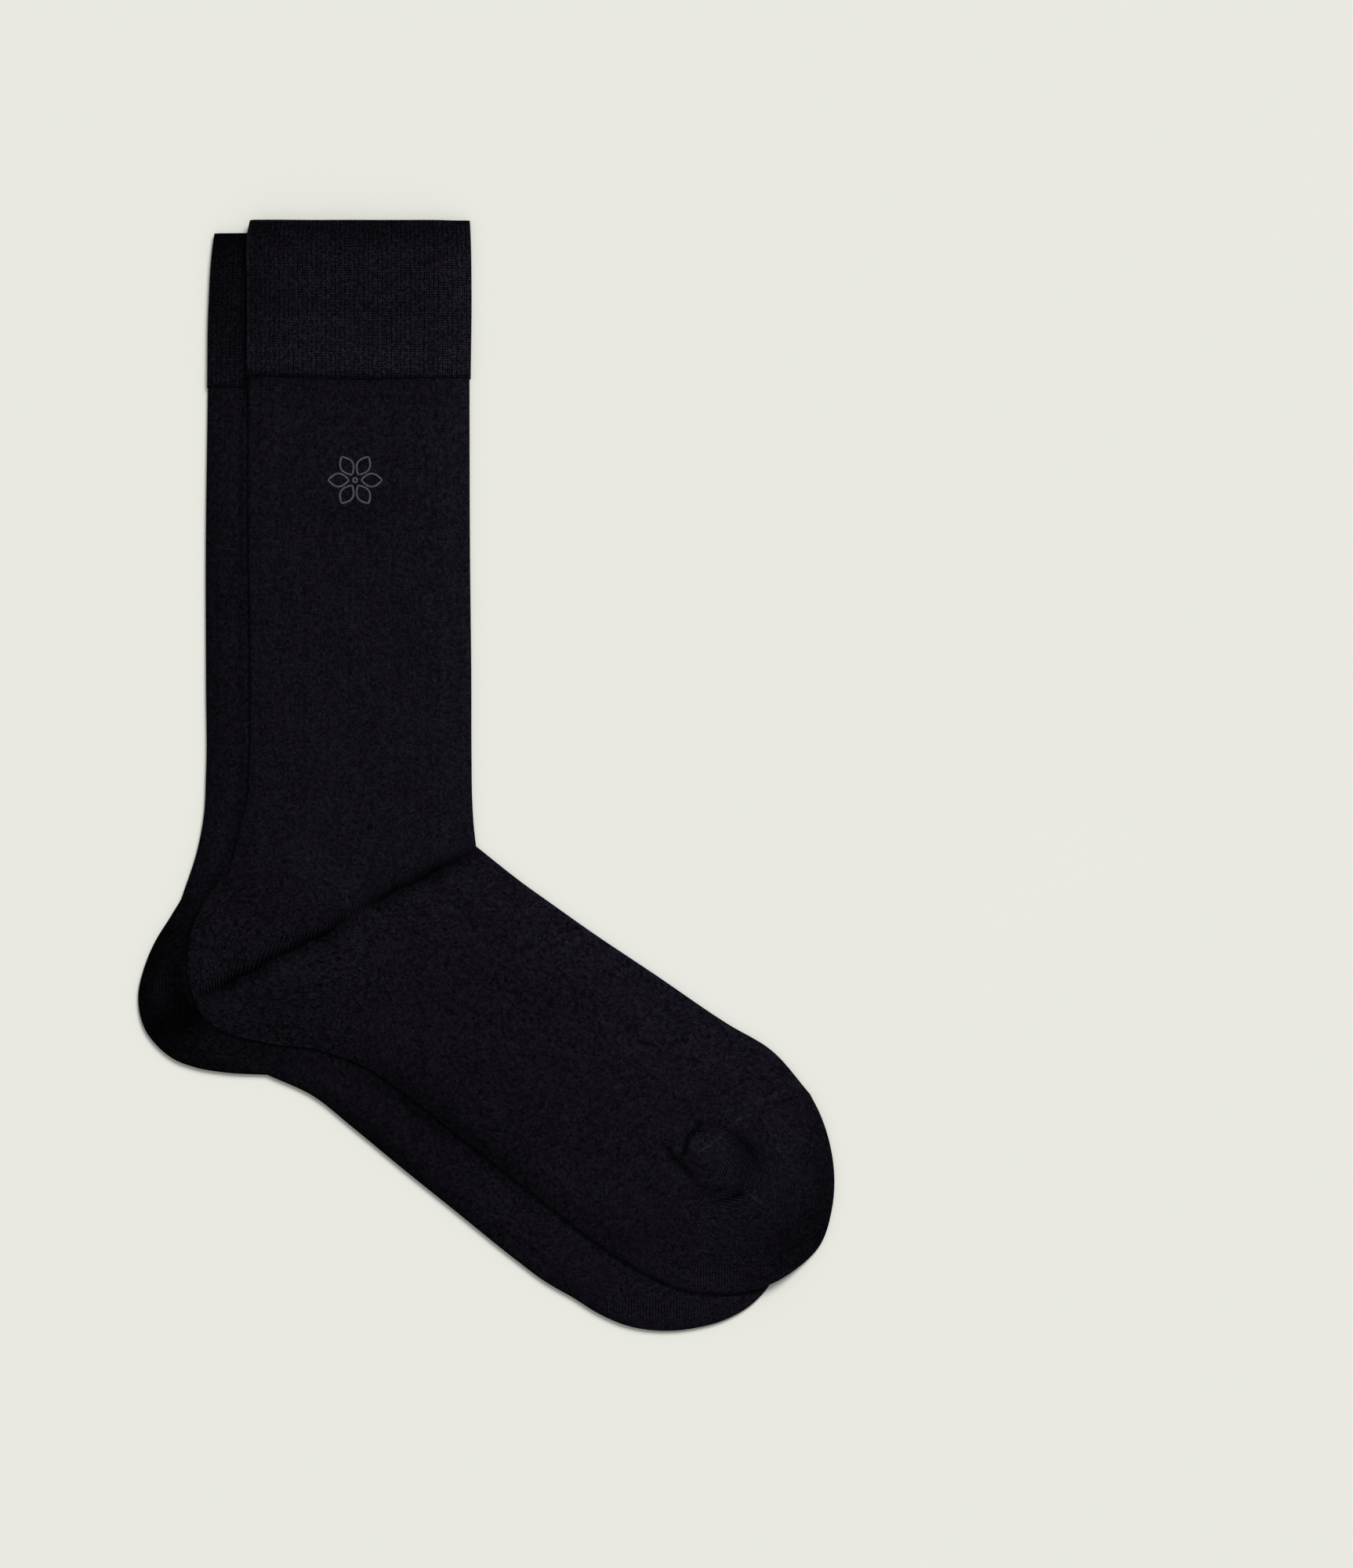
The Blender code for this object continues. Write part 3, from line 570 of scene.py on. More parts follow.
def rows_at(table, finest, coarsest, also_fine=()):
    """Rows on a table's curve, closest together at its ends, and the length run at each."""
    rows, run = dense_curve(table)
    places = spaced(run[-1], (0.0, run[-1], *also_fine), finest, coarsest)
    columns = [np.interp(places, run, rows[:, i]) for i in range(rows.shape[1])]
    return np.column_stack(columns), places


def outline_of(sock):
    """The sock's outline in plan, down the back and up the front."""
    tubes = np.vstack([dense_curve(sock.cuff, 4)[0], dense_curve(sock.leg, 6)[0]])
    heel, toe = dense_curve(sock.heel, 3)[0], dense_curve(sock.toe, 3)[0]
    foot = dense_curve(sock.foot, 5)[0]
    down = (tubes[:, 0:2], heel, foot[:, 0:2], toe[::-1])
    up = (foot[::-1, 4:6], tubes[::-1, 4:6])
    return np.vstack(down + up)


def centre_of(socks):
    """Middle in plan of all the outlines, where the origin is."""
    points = np.vstack([outline_of(sock) for sock in socks])
    return (points.min(axis=0) + points.max(axis=0)) / 2.0


CENTRE = np.append(centre_of((TOP_SOCK, BOTTOM_SOCK)), 0.0)


def distance_outside(points, outline):
    """How far each point lies outside a closed outline, less than 0 for a point inside it."""
    start, end = outline, np.roll(outline, -1, axis=0)
    along = end - start
    length2 = np.maximum((along**2).sum(axis=1), 1e-9)
    rise = np.where(along[:, 1] == 0.0, 1e-9, along[:, 1])
    distance = np.empty(len(points))
    for first in range(0, len(points), BATCH):
        part = points[first : first + BATCH]
        to_point = part[:, None, :] - start[None]
        t = np.clip((to_point * along).sum(axis=2) / length2, 0.0, 1.0)
        nearest = np.linalg.norm(to_point - t[:, :, None] * along, axis=2).min(axis=1)
        x, y = part[:, 0:1], part[:, 1:2]
        spans = (start[:, 1] > y) != (end[:, 1] > y)
        crossing = start[:, 0] + (y - start[:, 1]) * along[:, 0] / rise
        inside = (spans & (x < crossing)).sum(axis=1) % 2 == 1
        distance[first : first + BATCH] = np.where(inside, -nearest, nearest)
    return distance


# --------------------------------------------------------- relief of the cloth


def beside(points, line):
    """Distance to a line's left, strength and left-hand direction at each point."""
    line = np.array(line, float)
    chord = line[-1, :2] - line[0, :2]
    chord /= np.linalg.norm(chord)
    left = left_of(chord)
    runs, offs = (line[:, :2] - line[0, :2]) @ chord, (line[:, :2] - line[0, :2]) @ left
    run, off = (points - line[0, :2]) @ chord, (points - line[0, :2]) @ left
    past = np.maximum(np.maximum(-run, run - runs[-1]), 0.0)
    strength = np.interp(run, runs, line[:, 2]) * (1.0 - smooth_step(past / CREASE_END))
    waver = sum(height * np.sin(run / length + shift) for height, length, shift in CREASE_WAVES)
    return off - np.interp(run, runs, offs) - waver, strength, left


def distance_to(points, line):
    """Distance to a bent line, and its strength at the nearest place."""
    line = np.array(line, float)
    best, strength = np.full(len(points), 1e9), np.zeros(len(points))
    for a, b in zip(line[:-1], line[1:]):
        along = b[:2] - a[:2]
        t = np.clip(((points - a[:2]) @ along) / (along @ along), 0.0, 1.0)
        off = np.linalg.norm(points - a[:2] - t[:, None] * along, axis=1)
        nearer = off < best
        best = np.where(nearer, off, best)
        strength = np.where(nearer, a[2] + (b[2] - a[2]) * t, strength)
    return best, strength


def undulation(points, seed):
    """The slight unevenness of cloth that was smoothed flat by hand."""
    random = np.random.default_rng(seed)
    height = np.zeros(len(points))
    for _ in range(WAVES):
        wave = 2.0 * math.pi / random.uniform(*WAVE_LENGTHS)
        turn, shift = random.uniform(0.0, 2.0 * math.pi, 2)
        direction = wave * np.array([math.cos(turn), math.sin(turn)])
        height += np.sin(points @ direction + shift)
    return UNDULATION * height / math.sqrt(WAVES / 2.0)


def mounds(puffs, points):
    height = np.zeros(len(points))
    for puff in puffs:
        away = np.linalg.norm(points - np.array([puff.x, puff.y]), axis=1)
        height += puff.height * bell(away / puff.radius)
    return height


def relief(sock, points, broad=False):
    """Height that unevenness, puffs and lines add. Broad leaves the narrow lines out."""
    height = undulation(points, len(sock.name)) + mounds(sock.puffs, points)
    for line in sock.lines:
        if not (broad and line.width < BROAD):
            off, strength = distance_to(points, line.points)
            height += line.height * strength * bell(off / line.width)
    return height


def creased(sock, points):
    """Shift in plan and height that the sharp creases give, a lip leaning over a slope."""
    shift, height = np.zeros_like(points), np.zeros(len(points))
    for crease in sock.creases:
        off, strength, left = beside(points, crease.points)
        # on the left a shoulder, a gentle slope and a steep one
        gentle = np.clip(1.0 - off / crease.slope, 0.0, 1.0) ** 2
        steep = np.clip(1.0 - off / crease.steep, 0.0, 1.0) ** STEEPENING
        slope = -crease.depth * (GENTLE * gentle + (1.0 - GENTLE) * steep)
        slope += hump(off, crease.shoulder, crease.slope, SHOULDER_WIDTH * crease.slope)
        slope_shift = -PULL * crease.overlap * np.exp(-off / PULL_REACH)
        # on the right the lip, and the swelling behind it
        q = -off / crease.lip_width
        lean = np.interp(q, LIP_PLACES, LIP_LEAN) * crease.overlap
        back = np.interp(q, LIP_PLACES, LIP_BACK) * crease.lip_width
        rise = (crease.depth + crease.lip) * np.interp(q, LIP_PLACES, LIP_RISE) - crease.depth
        past = np.maximum(-off - crease.lip_width, 0.0) / crease.swell
        lip = np.where(q < 1.0, rise, crease.lip * bell(past))
        lip_shift = np.where(q < 1.0, lean - back + q * crease.lip_width, 0.0)
        on_left = off >= 0.0
        height += strength * np.where(on_left, slope, lip)
        shift += (strength * np.where(on_left, slope_shift, lip_shift))[:, None] * left
    return shift, height


def flat_bed(points):
    return np.zeros(len(points))


def bed_on(lower):
    """The height that a sock lies at when it is laid on another, and on the ground beyond."""
    outline = outline_of(lower)
    cuff_end = lower.cuff[-1].back_y
    leg_height = 2.0 * KNIT_HALF + RIB_HEIGHT + LAY_GAP
    cuff_height = 2.0 * CUFF_HALF + RIB_HEIGHT + LAY_GAP

    def bed(points):
        rise = smooth_step((points[:, 1] - cuff_end) / CUFF_BLEND + 1.0)
        height = leg_height + (cuff_height - leg_height) * rise + relief(lower, points, True)
        away = distance_outside(points, outline)
        height -= 2.0 * EDGE_PRESS * (1.0 - smooth_step(-away / PRESS_REACH))
        return np.maximum(height, 0.0) * (1.0 - smooth_step(away / DRAPE_REACH))

    return bed


# ------------------------------------------------------------ rows of knitting
#
# A grid of rows holds, for each of its points, the place in plan, the level
# from -1 on the under layer to 1 on the upper one, the distance from the folded
# edge, and the place across the flattened tube from 0 at the back to 1.


def rib_columns(first, last):
    """Places across a row, closer together in the grooves between the wide ribs."""
    step, half = 1.0 / GROOVES, GROOVE_WIDTH / LEG_WIDTH
    places = []
    for i in range(GROOVES):
        centre = (i + 0.5) * step
        places += list(centre + half * IN_GROOVE)
        places += list(centre + half + (step - 2.0 * half) * ON_RIB)
    places = np.array(places)
    return places[(places > first) & (places < last)]


def even_columns(first, last, count):
    return first + (last - first) * (np.arange(count) + 0.5) / count


CUFF_COLUMNS = even_columns(0.0, 1.0, 4 * CUFF_RIBS)[3:-3]
LEG_COLUMNS = rib_columns(0.03, 0.97)
SOLE_COLUMNS = even_columns(0.03, 0.36, 22), even_columns(0.36, 0.495, 18)
FOOT_COLUMNS = np.concatenate([*SOLE_COLUMNS, [0.5], rib_columns(0.505, 0.97)])


def tube_rows(rows, columns):
    """The grid of a flattened tube, each row once round it."""
    grid = []
    for row in rows:
        back, side, front = row[0:2], row[2:4], row[4:6]
        back_width, front_width = np.linalg.norm(side - back), np.linalg.norm(front - side)
        at_back = EDGE_OFF / (2.0 * back_width)
        at_front = 1.0 - EDGE_OFF / (2.0 * front_width)
        inner = np.clip(columns, at_back[-1] + TUBE_MARGIN, at_front[-1] - TUBE_MARGIN)
        places = (at_back, inner, at_front[::-1], at_front[1:], inner[::-1], at_back[:0:-1])
        places, ones = np.concatenate(places), np.ones(len(inner))
        level = EDGE_LEVEL
        levels = np.concatenate([level, ones, level[::-1], -level[1:], -ones, -level[:0:-1]])
        in_back = places < 0.5
        plan = np.where(
            in_back[:, None],
            back + (side - back) * (2.0 * places)[:, None],
            side + (front - side) * (2.0 * places - 1.0)[:, None],
        )
        width = np.where(in_back, back_width, front_width)
        edge = 2.0 * np.minimum(places, 1.0 - places) * width
        grid.append(np.column_stack([plan, levels, edge, places]))
    return np.array(grid)


def bow_of(seam_bow, from_seam, across):
    """How far a bowed seam carries the cloth near it towards the toe."""
    return seam_bow * (1.0 - smooth_step(from_seam / BOW_REACH)) * 4.0 * across * (1.0 - across)


def pocket_rows(rims, places, corner, columns, seam_bow):
    """The grid of a pocket, each row out from its corner to its folded edge and back."""
    grid = []
    for rim, place in zip(rims, places):
        width = np.linalg.norm(rim - corner)
        at_rim = 1.0 - EDGE_OFF / width
        flat = np.minimum(columns, at_rim[-1] - POCKET_MARGIN)
        out = np.concatenate([flat, at_rim[::-1], at_rim[1:], flat[::-1]])
        ones = np.ones(len(flat))
        levels = np.concatenate([ones, EDGE_LEVEL[::-1], -EDGE_LEVEL[1:], -ones])
        bow = bow_of(seam_bow, place, out)[:, None] * left_of((rim - corner) / width)
        plan = corner + (rim - corner) * out[:, None] + bow
        grid.append(np.column_stack([plan, levels, (1.0 - out) * width, 0.5 - 0.5 * out]))
    return np.array(grid)


def bow_instep(grid, places, seam_bow):
    """Carries the foot's last rows, on the half towards the instep, to the bowed toe seam."""
    grid = grid.copy()
    for loop, place in zip(grid, places):
        front = loop[:, 4] > 0.5
        across = 2.0 * loop[front, 4] - 1.0
        start, end = loop[front, 0:2][np.argmin(across)], loop[front, 0:2][np.argmax(across)]
        left = left_of((end - start) / np.linalg.norm(end - start))
        loop[front, 0:2] += bow_of(seam_bow, places[-1] - place, across)[:, None] * left
    return grid


# -------------------------------------------------------------- cloth surfaces


def lay(sock, bed, grid, half, lift=0.0, grooves=0.0):
    """Points of a piece's outer surface, with lift and depth of grooves at each of them."""
    shape = grid.shape[:2]
    flat = grid.reshape(-1, 5)
    plan, levels, edge = flat[:, 0:2], flat[:, 2], flat[:, 3]
    lift = np.broadcast_to(lift, shape).ravel()
    grooves = np.broadcast_to(grooves, shape).ravel()
    up = np.maximum(levels, 0.0)
    shift, drop = creased(sock, plan)
    near_edge = smooth_step(edge / EDGE_FADE)
    half = half - EDGE_PRESS * (1.0 - smooth_step(edge / PRESS_REACH)) - mounds(sock.presses, plan)
    above = (relief(sock, plan) + RIB_HEIGHT) * near_edge
    above += drop * smooth_step((edge + CREASE_PAST) / CREASE_FADE) + lift
    above += hump(edge, *EDGE_SWELL)
    height = bed(plan) + half + levels * half + up * above
    height -= levels * grooves * smooth_step(edge / RIB_FADE)
    plan = plan + shift * (up * smooth_step(edge / RIB_FADE))[:, None]
    return np.column_stack([plan, height]).reshape(*shape, 3)


def from_groove(grid):
    """How far each point is from the middle of the nearest groove."""
    return np.abs((grid[:, :, 4] * GROOVES) % 1.0 - 0.5) / GROOVES * LEG_WIDTH


def wide_grooves(grid):
    """Depth of the narrow grooves between the wide ribs."""
    return GROOVE_DEPTH * bell(from_groove(grid) / (0.5 * GROOVE_WIDTH))


def cuff_grooves(grid):
    """Depth of the sunken wales between the cuff's fine ribs."""
    return 0.5 * CUFF_RIB_DEPTH * (1.0 + np.cos(2.0 * math.pi * CUFF_RIBS * grid[:, :, 4]))


def normals_of(points, wraps):
    """Unit normals out of a grid of points."""
    if wraps:
        across = np.roll(points, -1, axis=1) - np.roll(points, 1, axis=1)
    else:
        across = np.gradient(points, axis=1)
    normals = np.cross(np.gradient(points, axis=0), across)
    normals /= np.maximum(np.linalg.norm(normals, axis=2, keepdims=True), 1e-9)
    middle = normals[len(points) // 2, points.shape[1] // 4, 2]
    return normals if middle > 0.0 else -normals


class Shell:
    """A thin closed shell under a grid of outer points, row by row."""

    def __init__(self, outer, wall, wraps, rims):
        self.rows, self.count = outer.shape[:2]
        self.wraps = wraps
        self.points, self.sources, self.faces = [], [], []
        normals = normals_of(outer, wraps)
        every = np.arange(self.rows * self.count).reshape(self.rows, self.count)
        kept = sorted({*range(0, self.rows, INNER_STEP), self.rows - 1})
        inner = outer[kept] - wall * normals[kept]
        outs = self.add_rows(outer, every)
        ins = self.add_rows(inner, every[kept])
        for a, b in zip(outs[:-1], outs[1:]):
            self.strip(a, b)
        for a, b in zip(ins[:-1], ins[1:]):
            self.strip(b, a)
        for end, inside, turn in ((0, 1, -1), (-1, -2, 1)):
            chain = [outs[end]]
            if end in rims:  # a half-round rim
                away = outer[end] - outer[inside]
                away /= np.linalg.norm(away, axis=1, keepdims=True)
                middle = outer[end] - 0.5 * wall * normals[end]
                turns = np.radians(RIM_TURN)[:, None, None]
                rounds = np.cos(turns) * normals[end] + np.sin(turns) * away
                same = every[[end] * len(turns)]
                chain += list(self.add_rows(middle + 0.5 * wall * rounds, same))
            chain.append(ins[end])
            for a, b in zip(chain[:-1], chain[1:]):
                self.strip(*((a, b) if turn > 0 else (b, a)))

    def add_rows(self, points, sources):
        """Adds rows of points, where a pocket's corner is one point for all of them."""
        start = sum(len(row) for row in self.points)
        numbers = start + np.arange(points.shape[0] * self.count).reshape(-1, self.count)
        if not self.wraps:
            points = points.copy()
            points[:, 0], points[:, -1] = points[:, 0].mean(axis=0), points[:, -1].mean(axis=0)
        self.points.append(points.reshape(-1, 3))
        self.sources.append(sources.ravel())
        return numbers

    def strip(self, a, b):
        """Faces between two rows."""
        here = np.arange(self.count if self.wraps else self.count - 1)
        there = (here + 1) % self.count
        self.faces.append(np.column_stack([a[here], a[there], b[there], b[here]]))

    def mesh(self, name):
        """The shell's mesh with equal points joined, and the outer point that each comes from."""
        points = (np.vstack(self.points) - CENTRE) * MM
        _, first, joined = np.unique(
            np.round(points / JOINED), axis=0, return_index=True, return_inverse=True
        )
        faces = joined.ravel()[np.vstack(self.faces)]
        kept = []
        for face in faces.tolist():
            face = [v for i, v in enumerate(face) if v != face[i - 1]]
            if len(set(face)) == len(face) > 2:
                kept.append(face)
        mesh = bpy.data.meshes.new(name)
        mesh.from_pydata(points[first].tolist(), [], kept)
        mesh.update()
        return mesh, np.concatenate(self.sources)[first]


def hatch_at(crease, plan):
    """How clear the lines beside a crease are at each point, and their phase."""
    points, hatch = np.array(crease.points, float), np.array(crease.hatch, float)
    x = np.arange(hatch[0, 0], hatch[-1, 0], HATCH_STEP)
    pitch, turn, amount = (np.interp(x, hatch[:, 0], hatch[:, i]) for i in (1, 2, 3))
    level = np.interp(x, points[:, 0], points[:, 1])
    across, up = np.cos(np.radians(turn)) / pitch, np.sin(np.radians(turn)) / pitch
    # the phase along the crease makes the pitch right at HATCH_MIDDLE above it
    step = across - up * np.gradient(level, x) + HATCH_MIDDLE * np.gradient(up, x)
    along = np.cumsum(step) * (x[1] - x[0])
    along, up, level, amount = (np.interp(plan[:, 0], x, v) for v in (along, up, level, amount))
    return amount, along - up * (plan[:, 1] - level)


def drawn_at(sock, plan):
    """How far the stitches are drawn apart at each point, and the phase of the lines they show."""
    drawn, phase = np.zeros(len(plan)), np.zeros(len(plan))
    for crease in sock.creases:
        off, strength, _ = beside(plan, crease.points)
        clear, phase = hatch_at(crease, plan)
        clear *= np.minimum(1.0, HATCH_LEAST + strength) * (strength > 0.0)
        drawn = clear * bell(np.where(off > 0.0, off / crease.reach, off / HATCH_PAST))
    for spot in sock.drawn:
        turn = math.radians(spot.turn)
        along = np.array([math.cos(turn), math.sin(turn)])
        to_point = plan - np.array([spot.x, spot.y])
        a, b = to_point @ along, to_point @ left_of(along)
        amount = spot.amount * bell(np.hypot(a / spot.along, b / spot.across))
        centre = np.array([spot.centre_x, spot.centre_y])
        curved = np.linalg.norm(plan - centre, axis=1) / spot.pitch
        phase = np.where(amount > drawn, curved, phase)
        drawn = np.maximum(drawn, amount)
    return drawn, phase


def shade_and_tone_at(sock, plan):
    """Painted shade and light, with some uneven tone: how much lighter or darker than the rest the
    cloth is at each point.
    """
    tone = np.zeros(len(plan))
    for patch in sock.tones:
        a, b = (plan[:, 0] - patch.x) / patch.radius_x, (plan[:, 1] - patch.y) / patch.radius_y
        tone += patch.amount * bell(np.hypot(a, b))
    for line in sock.lines:
        if line.tone:
            off, strength = distance_to(plan, line.points)
            tone += line.tone * strength * bell(off / (LINE_TONE_WIDTH * line.width))
    # painted shade in each crease, deepest about dark_at, with a softer painted shade above it
    for crease in sock.creases:
        off, strength, _ = beside(plan, crease.points)
        width = crease.dark_width * np.where(off < crease.dark_at, LIP_DARK_WIDTH, 1.0)
        tone -= strength * (hump(off, crease.dark, crease.dark_at, width) + hump(off, *SOFT_DARK))
    return tone


def groove_shade(grid):
    """Painted shade in the grooves between its ribs, and how much darker the cloth is halfway
    between them.
    """
    away = from_groove(grid)
    return hump(away, *GROOVE_SHADE) + hump(0.5 * LEG_WIDTH / GROOVES - away, *HALFWAY_TONE)


def add_vectors(mesh, name, values):
    attribute = mesh.attributes.new(name, "FLOAT_VECTOR", "POINT")
    attribute.data.foreach_set("vector", values.astype(np.float32).ravel())


def add_shades(mesh, sock, grid, sources, place, grooves=0.0):
    """Gives the mesh its knit coordinates and its tone, which holds painted shade and light, and
    which its material reads.
    """
    plan, levels = grid[:, :, 0:2].reshape(-1, 2), grid[:, :, 2].ravel()
    drawn, phase = drawn_at(sock, plan)
    tone = 1.0 + shade_and_tone_at(sock, plan) * smooth_step(1.0 + 2.0 * levels)
    # the grooves' painted shade
    tone *= 1.0 + np.ravel(grooves)
    shade = (drawn * smooth_step(levels), np.maximum(tone, DARKEST), phase)
    knit = [np.broadcast_to(value, grid.shape[:2]).ravel() for value in place]
    add_vectors(mesh, "knit", np.column_stack(knit)[sources])
    add_vectors(mesh, "shade", np.column_stack(shade)[sources])


def cut_of(outer, wraps):
    """Width, length and area, in metres, of the cloth that a grid of outer points shows."""
    closed = np.concatenate([outer, outer[:, :1]], axis=1) if wraps else outer
    across, down = np.diff(closed, axis=1), np.diff(closed, axis=0)
    width = np.linalg.norm(across, axis=2).sum(axis=1).max()
    length = np.linalg.norm(down, axis=2).sum(axis=0).max()
    area = np.linalg.norm(np.cross(across[:-1], down[:, :-1]), axis=2).sum()
    return width * MM, length * MM, min(area * MM * MM, width * length * MM * MM)


def new_object(name, data):
    obj = bpy.data.objects.new(name, data)
    bpy.context.scene.collection.objects.link(obj)
    return obj


# ------------------------------------------------------------------- materials


class Field:
    """A socket of a material's nodes that can be reckoned with."""

    def __init__(self, tree, socket):
        self.tree, self.socket = tree, socket

    def math(self, operation, *values):
        node = self.tree.nodes.new("ShaderNodeMath")
        node.operation = operation
        for socket, value in zip(node.inputs, values):
            feed(self.tree, socket, value)
        return Field(self.tree, node.outputs[0])

    def __rsub__(self, other):
        return self.math("SUBTRACT", other, self)

    def from_middle(self):
        """From -0.5 to 0.5 across each whole step."""
        return self.fraction() - 0.5

    def wave(self, cycles=1.0):
        """From 1 through -1 and back so many times over each whole step."""
        return (self * (2.0 * math.pi * cycles)).cosine()


def on_field(operation):
    return lambda field, other=0.0: field.math(operation, field, other)


for name, operation in (
    ("__add__", "ADD"),
    ("__radd__", "ADD"),
    ("__sub__", "SUBTRACT"),
    ("__mul__", "MULTIPLY"),
    ("__rmul__", "MULTIPLY"),
    ("__truediv__", "DIVIDE"),
    ("__pow__", "POWER"),
    ("__abs__", "ABSOLUTE"),
    ("floor", "FLOOR"),
    ("fraction", "FRACT"),
    ("cosine", "COSINE"),
    ("at_least", "MAXIMUM"),
):
    setattr(Field, name, on_field(operation))


def feed(tree, socket, value):
    if isinstance(value, Field):
        tree.links.new(value.socket, socket)
    else:
        socket.default_value = value


class Cloth:
    """A material's node tree, with short calls for what the cloth's patterns are made of."""

    def __init__(self, name, roughness, specular, sheen=0.0):
        self.material = bpy.data.materials.new(name)
        self.material.use_nodes = True
        self.tree = self.material.node_tree
        self.shader = self.tree.nodes["Principled BSDF"]
        inputs = {"Roughness": roughness, "Specular IOR Level": specular, "Sheen Weight": sheen}
        if sheen:
            inputs.update({"Sheen Roughness": SHEEN_ROUGHNESS, "Sheen Tint": SHEEN_TINT})
        for key, value in inputs.items():
            feed(self.tree, self.shader.inputs[key], value)

    def node(self, kind, **inputs):
        """A new node with some of its inputs fed."""
        node = self.tree.nodes.new(f"ShaderNode{kind}")
        for key, value in inputs.items():
            feed(self.tree, node.inputs[key], value)
        return node

    def out(self, node, output=0):
        return Field(self.tree, node.outputs[output])

    def attribute(self, name):
        """The three numbers that an attribute holds."""
        node = self.node("Attribute")
        node.attribute_name = name
        split = self.node("SeparateXYZ", Vector=self.out(node, "Vector"))
        return [self.out(split, axis) for axis in "XYZ"]

    def noise(self, grain, detail=2.0):
        """Noise about 0, its grain in millimetres."""
        place = self.out(self.node("TexCoord"), "Object")
        node = self.node("TexNoise", Vector=place, Scale=1.0 / (grain * MM), Detail=detail)
        return self.out(node) - 0.5

    def chance(self, x, y, z):
        """A number from 0 to 1 for each cell."""
        cell = self.out(self.node("CombineXYZ", X=x, Y=y, Z=z))
        return self.out(self.node("TexWhiteNoise", Vector=cell), "Value")

    def colour(self, colour, value):
        node = self.node("VectorMath")
        node.operation = "SCALE"
        node.inputs[0].default_value = colour
        feed(self.tree, node.inputs["Scale"], value)
        feed(self.tree, self.shader.inputs["Base Color"], self.out(node))

    def bump(self, height, distance):
        """Relief of this height, in millimetres, where the field goes from 0 to 1."""
        node = self.node("Bump", Distance=distance * MM, Height=height)
        feed(self.tree, self.shader.inputs["Normal"], self.out(node))


def knit_material(part, seed, contrast):
    """Fine plain knit, its arms of yarn parted by narrow dark gaps, or drawn out into lines.

    The weights are shares of the cloth's light, found by comparing renders.
    """
    cloth = Cloth(f"{part}_knit_yarn", KNIT_ROUGHNESS, KNIT_SPECULAR, KNIT_SHEEN)
    across, along, spread = cloth.attribute("knit")
    drawn, tone, phase = cloth.attribute("shade")
    fibre, waver = cloth.noise(0.8), cloth.noise(1.9)
    u = (across + 1.6 * waver) / WALE
    even = ((spread * RINGS).floor() + 0.5) / RINGS
    v = (along * even + 1.6 * cloth.noise(1.5)) / COURSE + abs(u.from_middle()) * SLANT
    beside_arm = (2.0 * (u * 2.0).from_middle()) ** 2.0
    below_loop = (2.0 * v.from_middle()) ** 2.0
    arm = cloth.chance((u * 2.0).floor(), v.floor(), seed)
    loop = cloth.chance((u * 2.0).floor(), v.floor(), seed + 10.0)
    stitch = cloth.chance(u.floor(), v.floor(), seed + 20.0)
    yarn = 1.0 - 0.8 * beside_arm * (0.3 + 1.4 * arm)
    yarn = yarn * (1.0 - 0.5 * below_loop * (0.2 + 1.6 * loop))
    line = 0.5 + 0.5 * (phase + 0.35 * waver).wave()
    value = 1.45 * yarn * (0.55 + 0.9 * stitch) * (1.0 + 2.1 * fibre)
    value = value * (1.0 + 1.1 * cloth.noise(1.5, 1.0)) * (1.0 + 0.5 * cloth.noise(2.6))
    value = 1.0 + contrast * (value - 1.0)
    value = value - 0.5 * (value - BRIGHT).at_least(0.0)
    lines = (LEAST + 2.3 * line**1.6) * (0.65 + 0.5 * stitch) * (1.0 + 1.6 * fibre)
    # tone holds painted shade and light as well as the cloth's uneven tone
    value = (value * (1.0 - 0.92 * drawn) + lines * drawn) * tone
    cloth.colour(BLACK, value.at_least(LEAST))
    cloth.bump(yarn * (1.0 - drawn) + 0.8 * fibre + 1.4 * drawn * line, 0.12)
    return cloth.material


def cuff_material(seed):
    """Knit in one-and-one ribs, with dark gaps between its wales and between its courses."""
    cloth = Cloth("cuff_knit_yarn", KNIT_ROUGHNESS, KNIT_SPECULAR, KNIT_SHEEN)
    across, along, _ = cloth.attribute("knit")
    _, tone, _ = cloth.attribute("shade")
    fibre = cloth.noise(0.6)
    u = across * (CUFF_RIBS / LEG_WIDTH) + 0.3 * cloth.noise(2.0)
    v = (along + cloth.noise(1.7)) / CUFF_COURSE
    sunken = 0.5 + 0.5 * u.wave()
    between = (0.5 + 0.5 * u.wave(2.0)) ** 0.8
    below = 0.5 - 0.5 * v.wave()
    chance = cloth.chance((u * 2.0 + 0.5).floor(), v.floor(), seed)
    stitch = cloth.chance((u * 2.0).floor(), (v + 0.5).floor(), seed + 10.0)
    hole = between * (0.55 + 0.45 * sunken) * (0.3 + 0.7 * below) * (0.4 + 1.2 * chance)
    yarn = (1.0 - 1.45 * hole).at_least(0.0) * (1.0 - 0.36 * below)
    value = 1.76 * yarn * (0.6 + 0.8 * stitch)
    value = value * (1.0 + 2.5 * fibre) * (1.0 + 0.4 * cloth.noise(1.5, 1.0))
    # tone holds painted shade and light as well as the cloth's uneven tone
    value = value * (1.0 + 0.15 * cloth.noise(2.6)) * tone
    cloth.colour(CUFF_BLACK, value.at_least(LEAST))
    cloth.bump(yarn - 0.7 * sunken + 0.7 * fibre, 0.14)
    return cloth.material


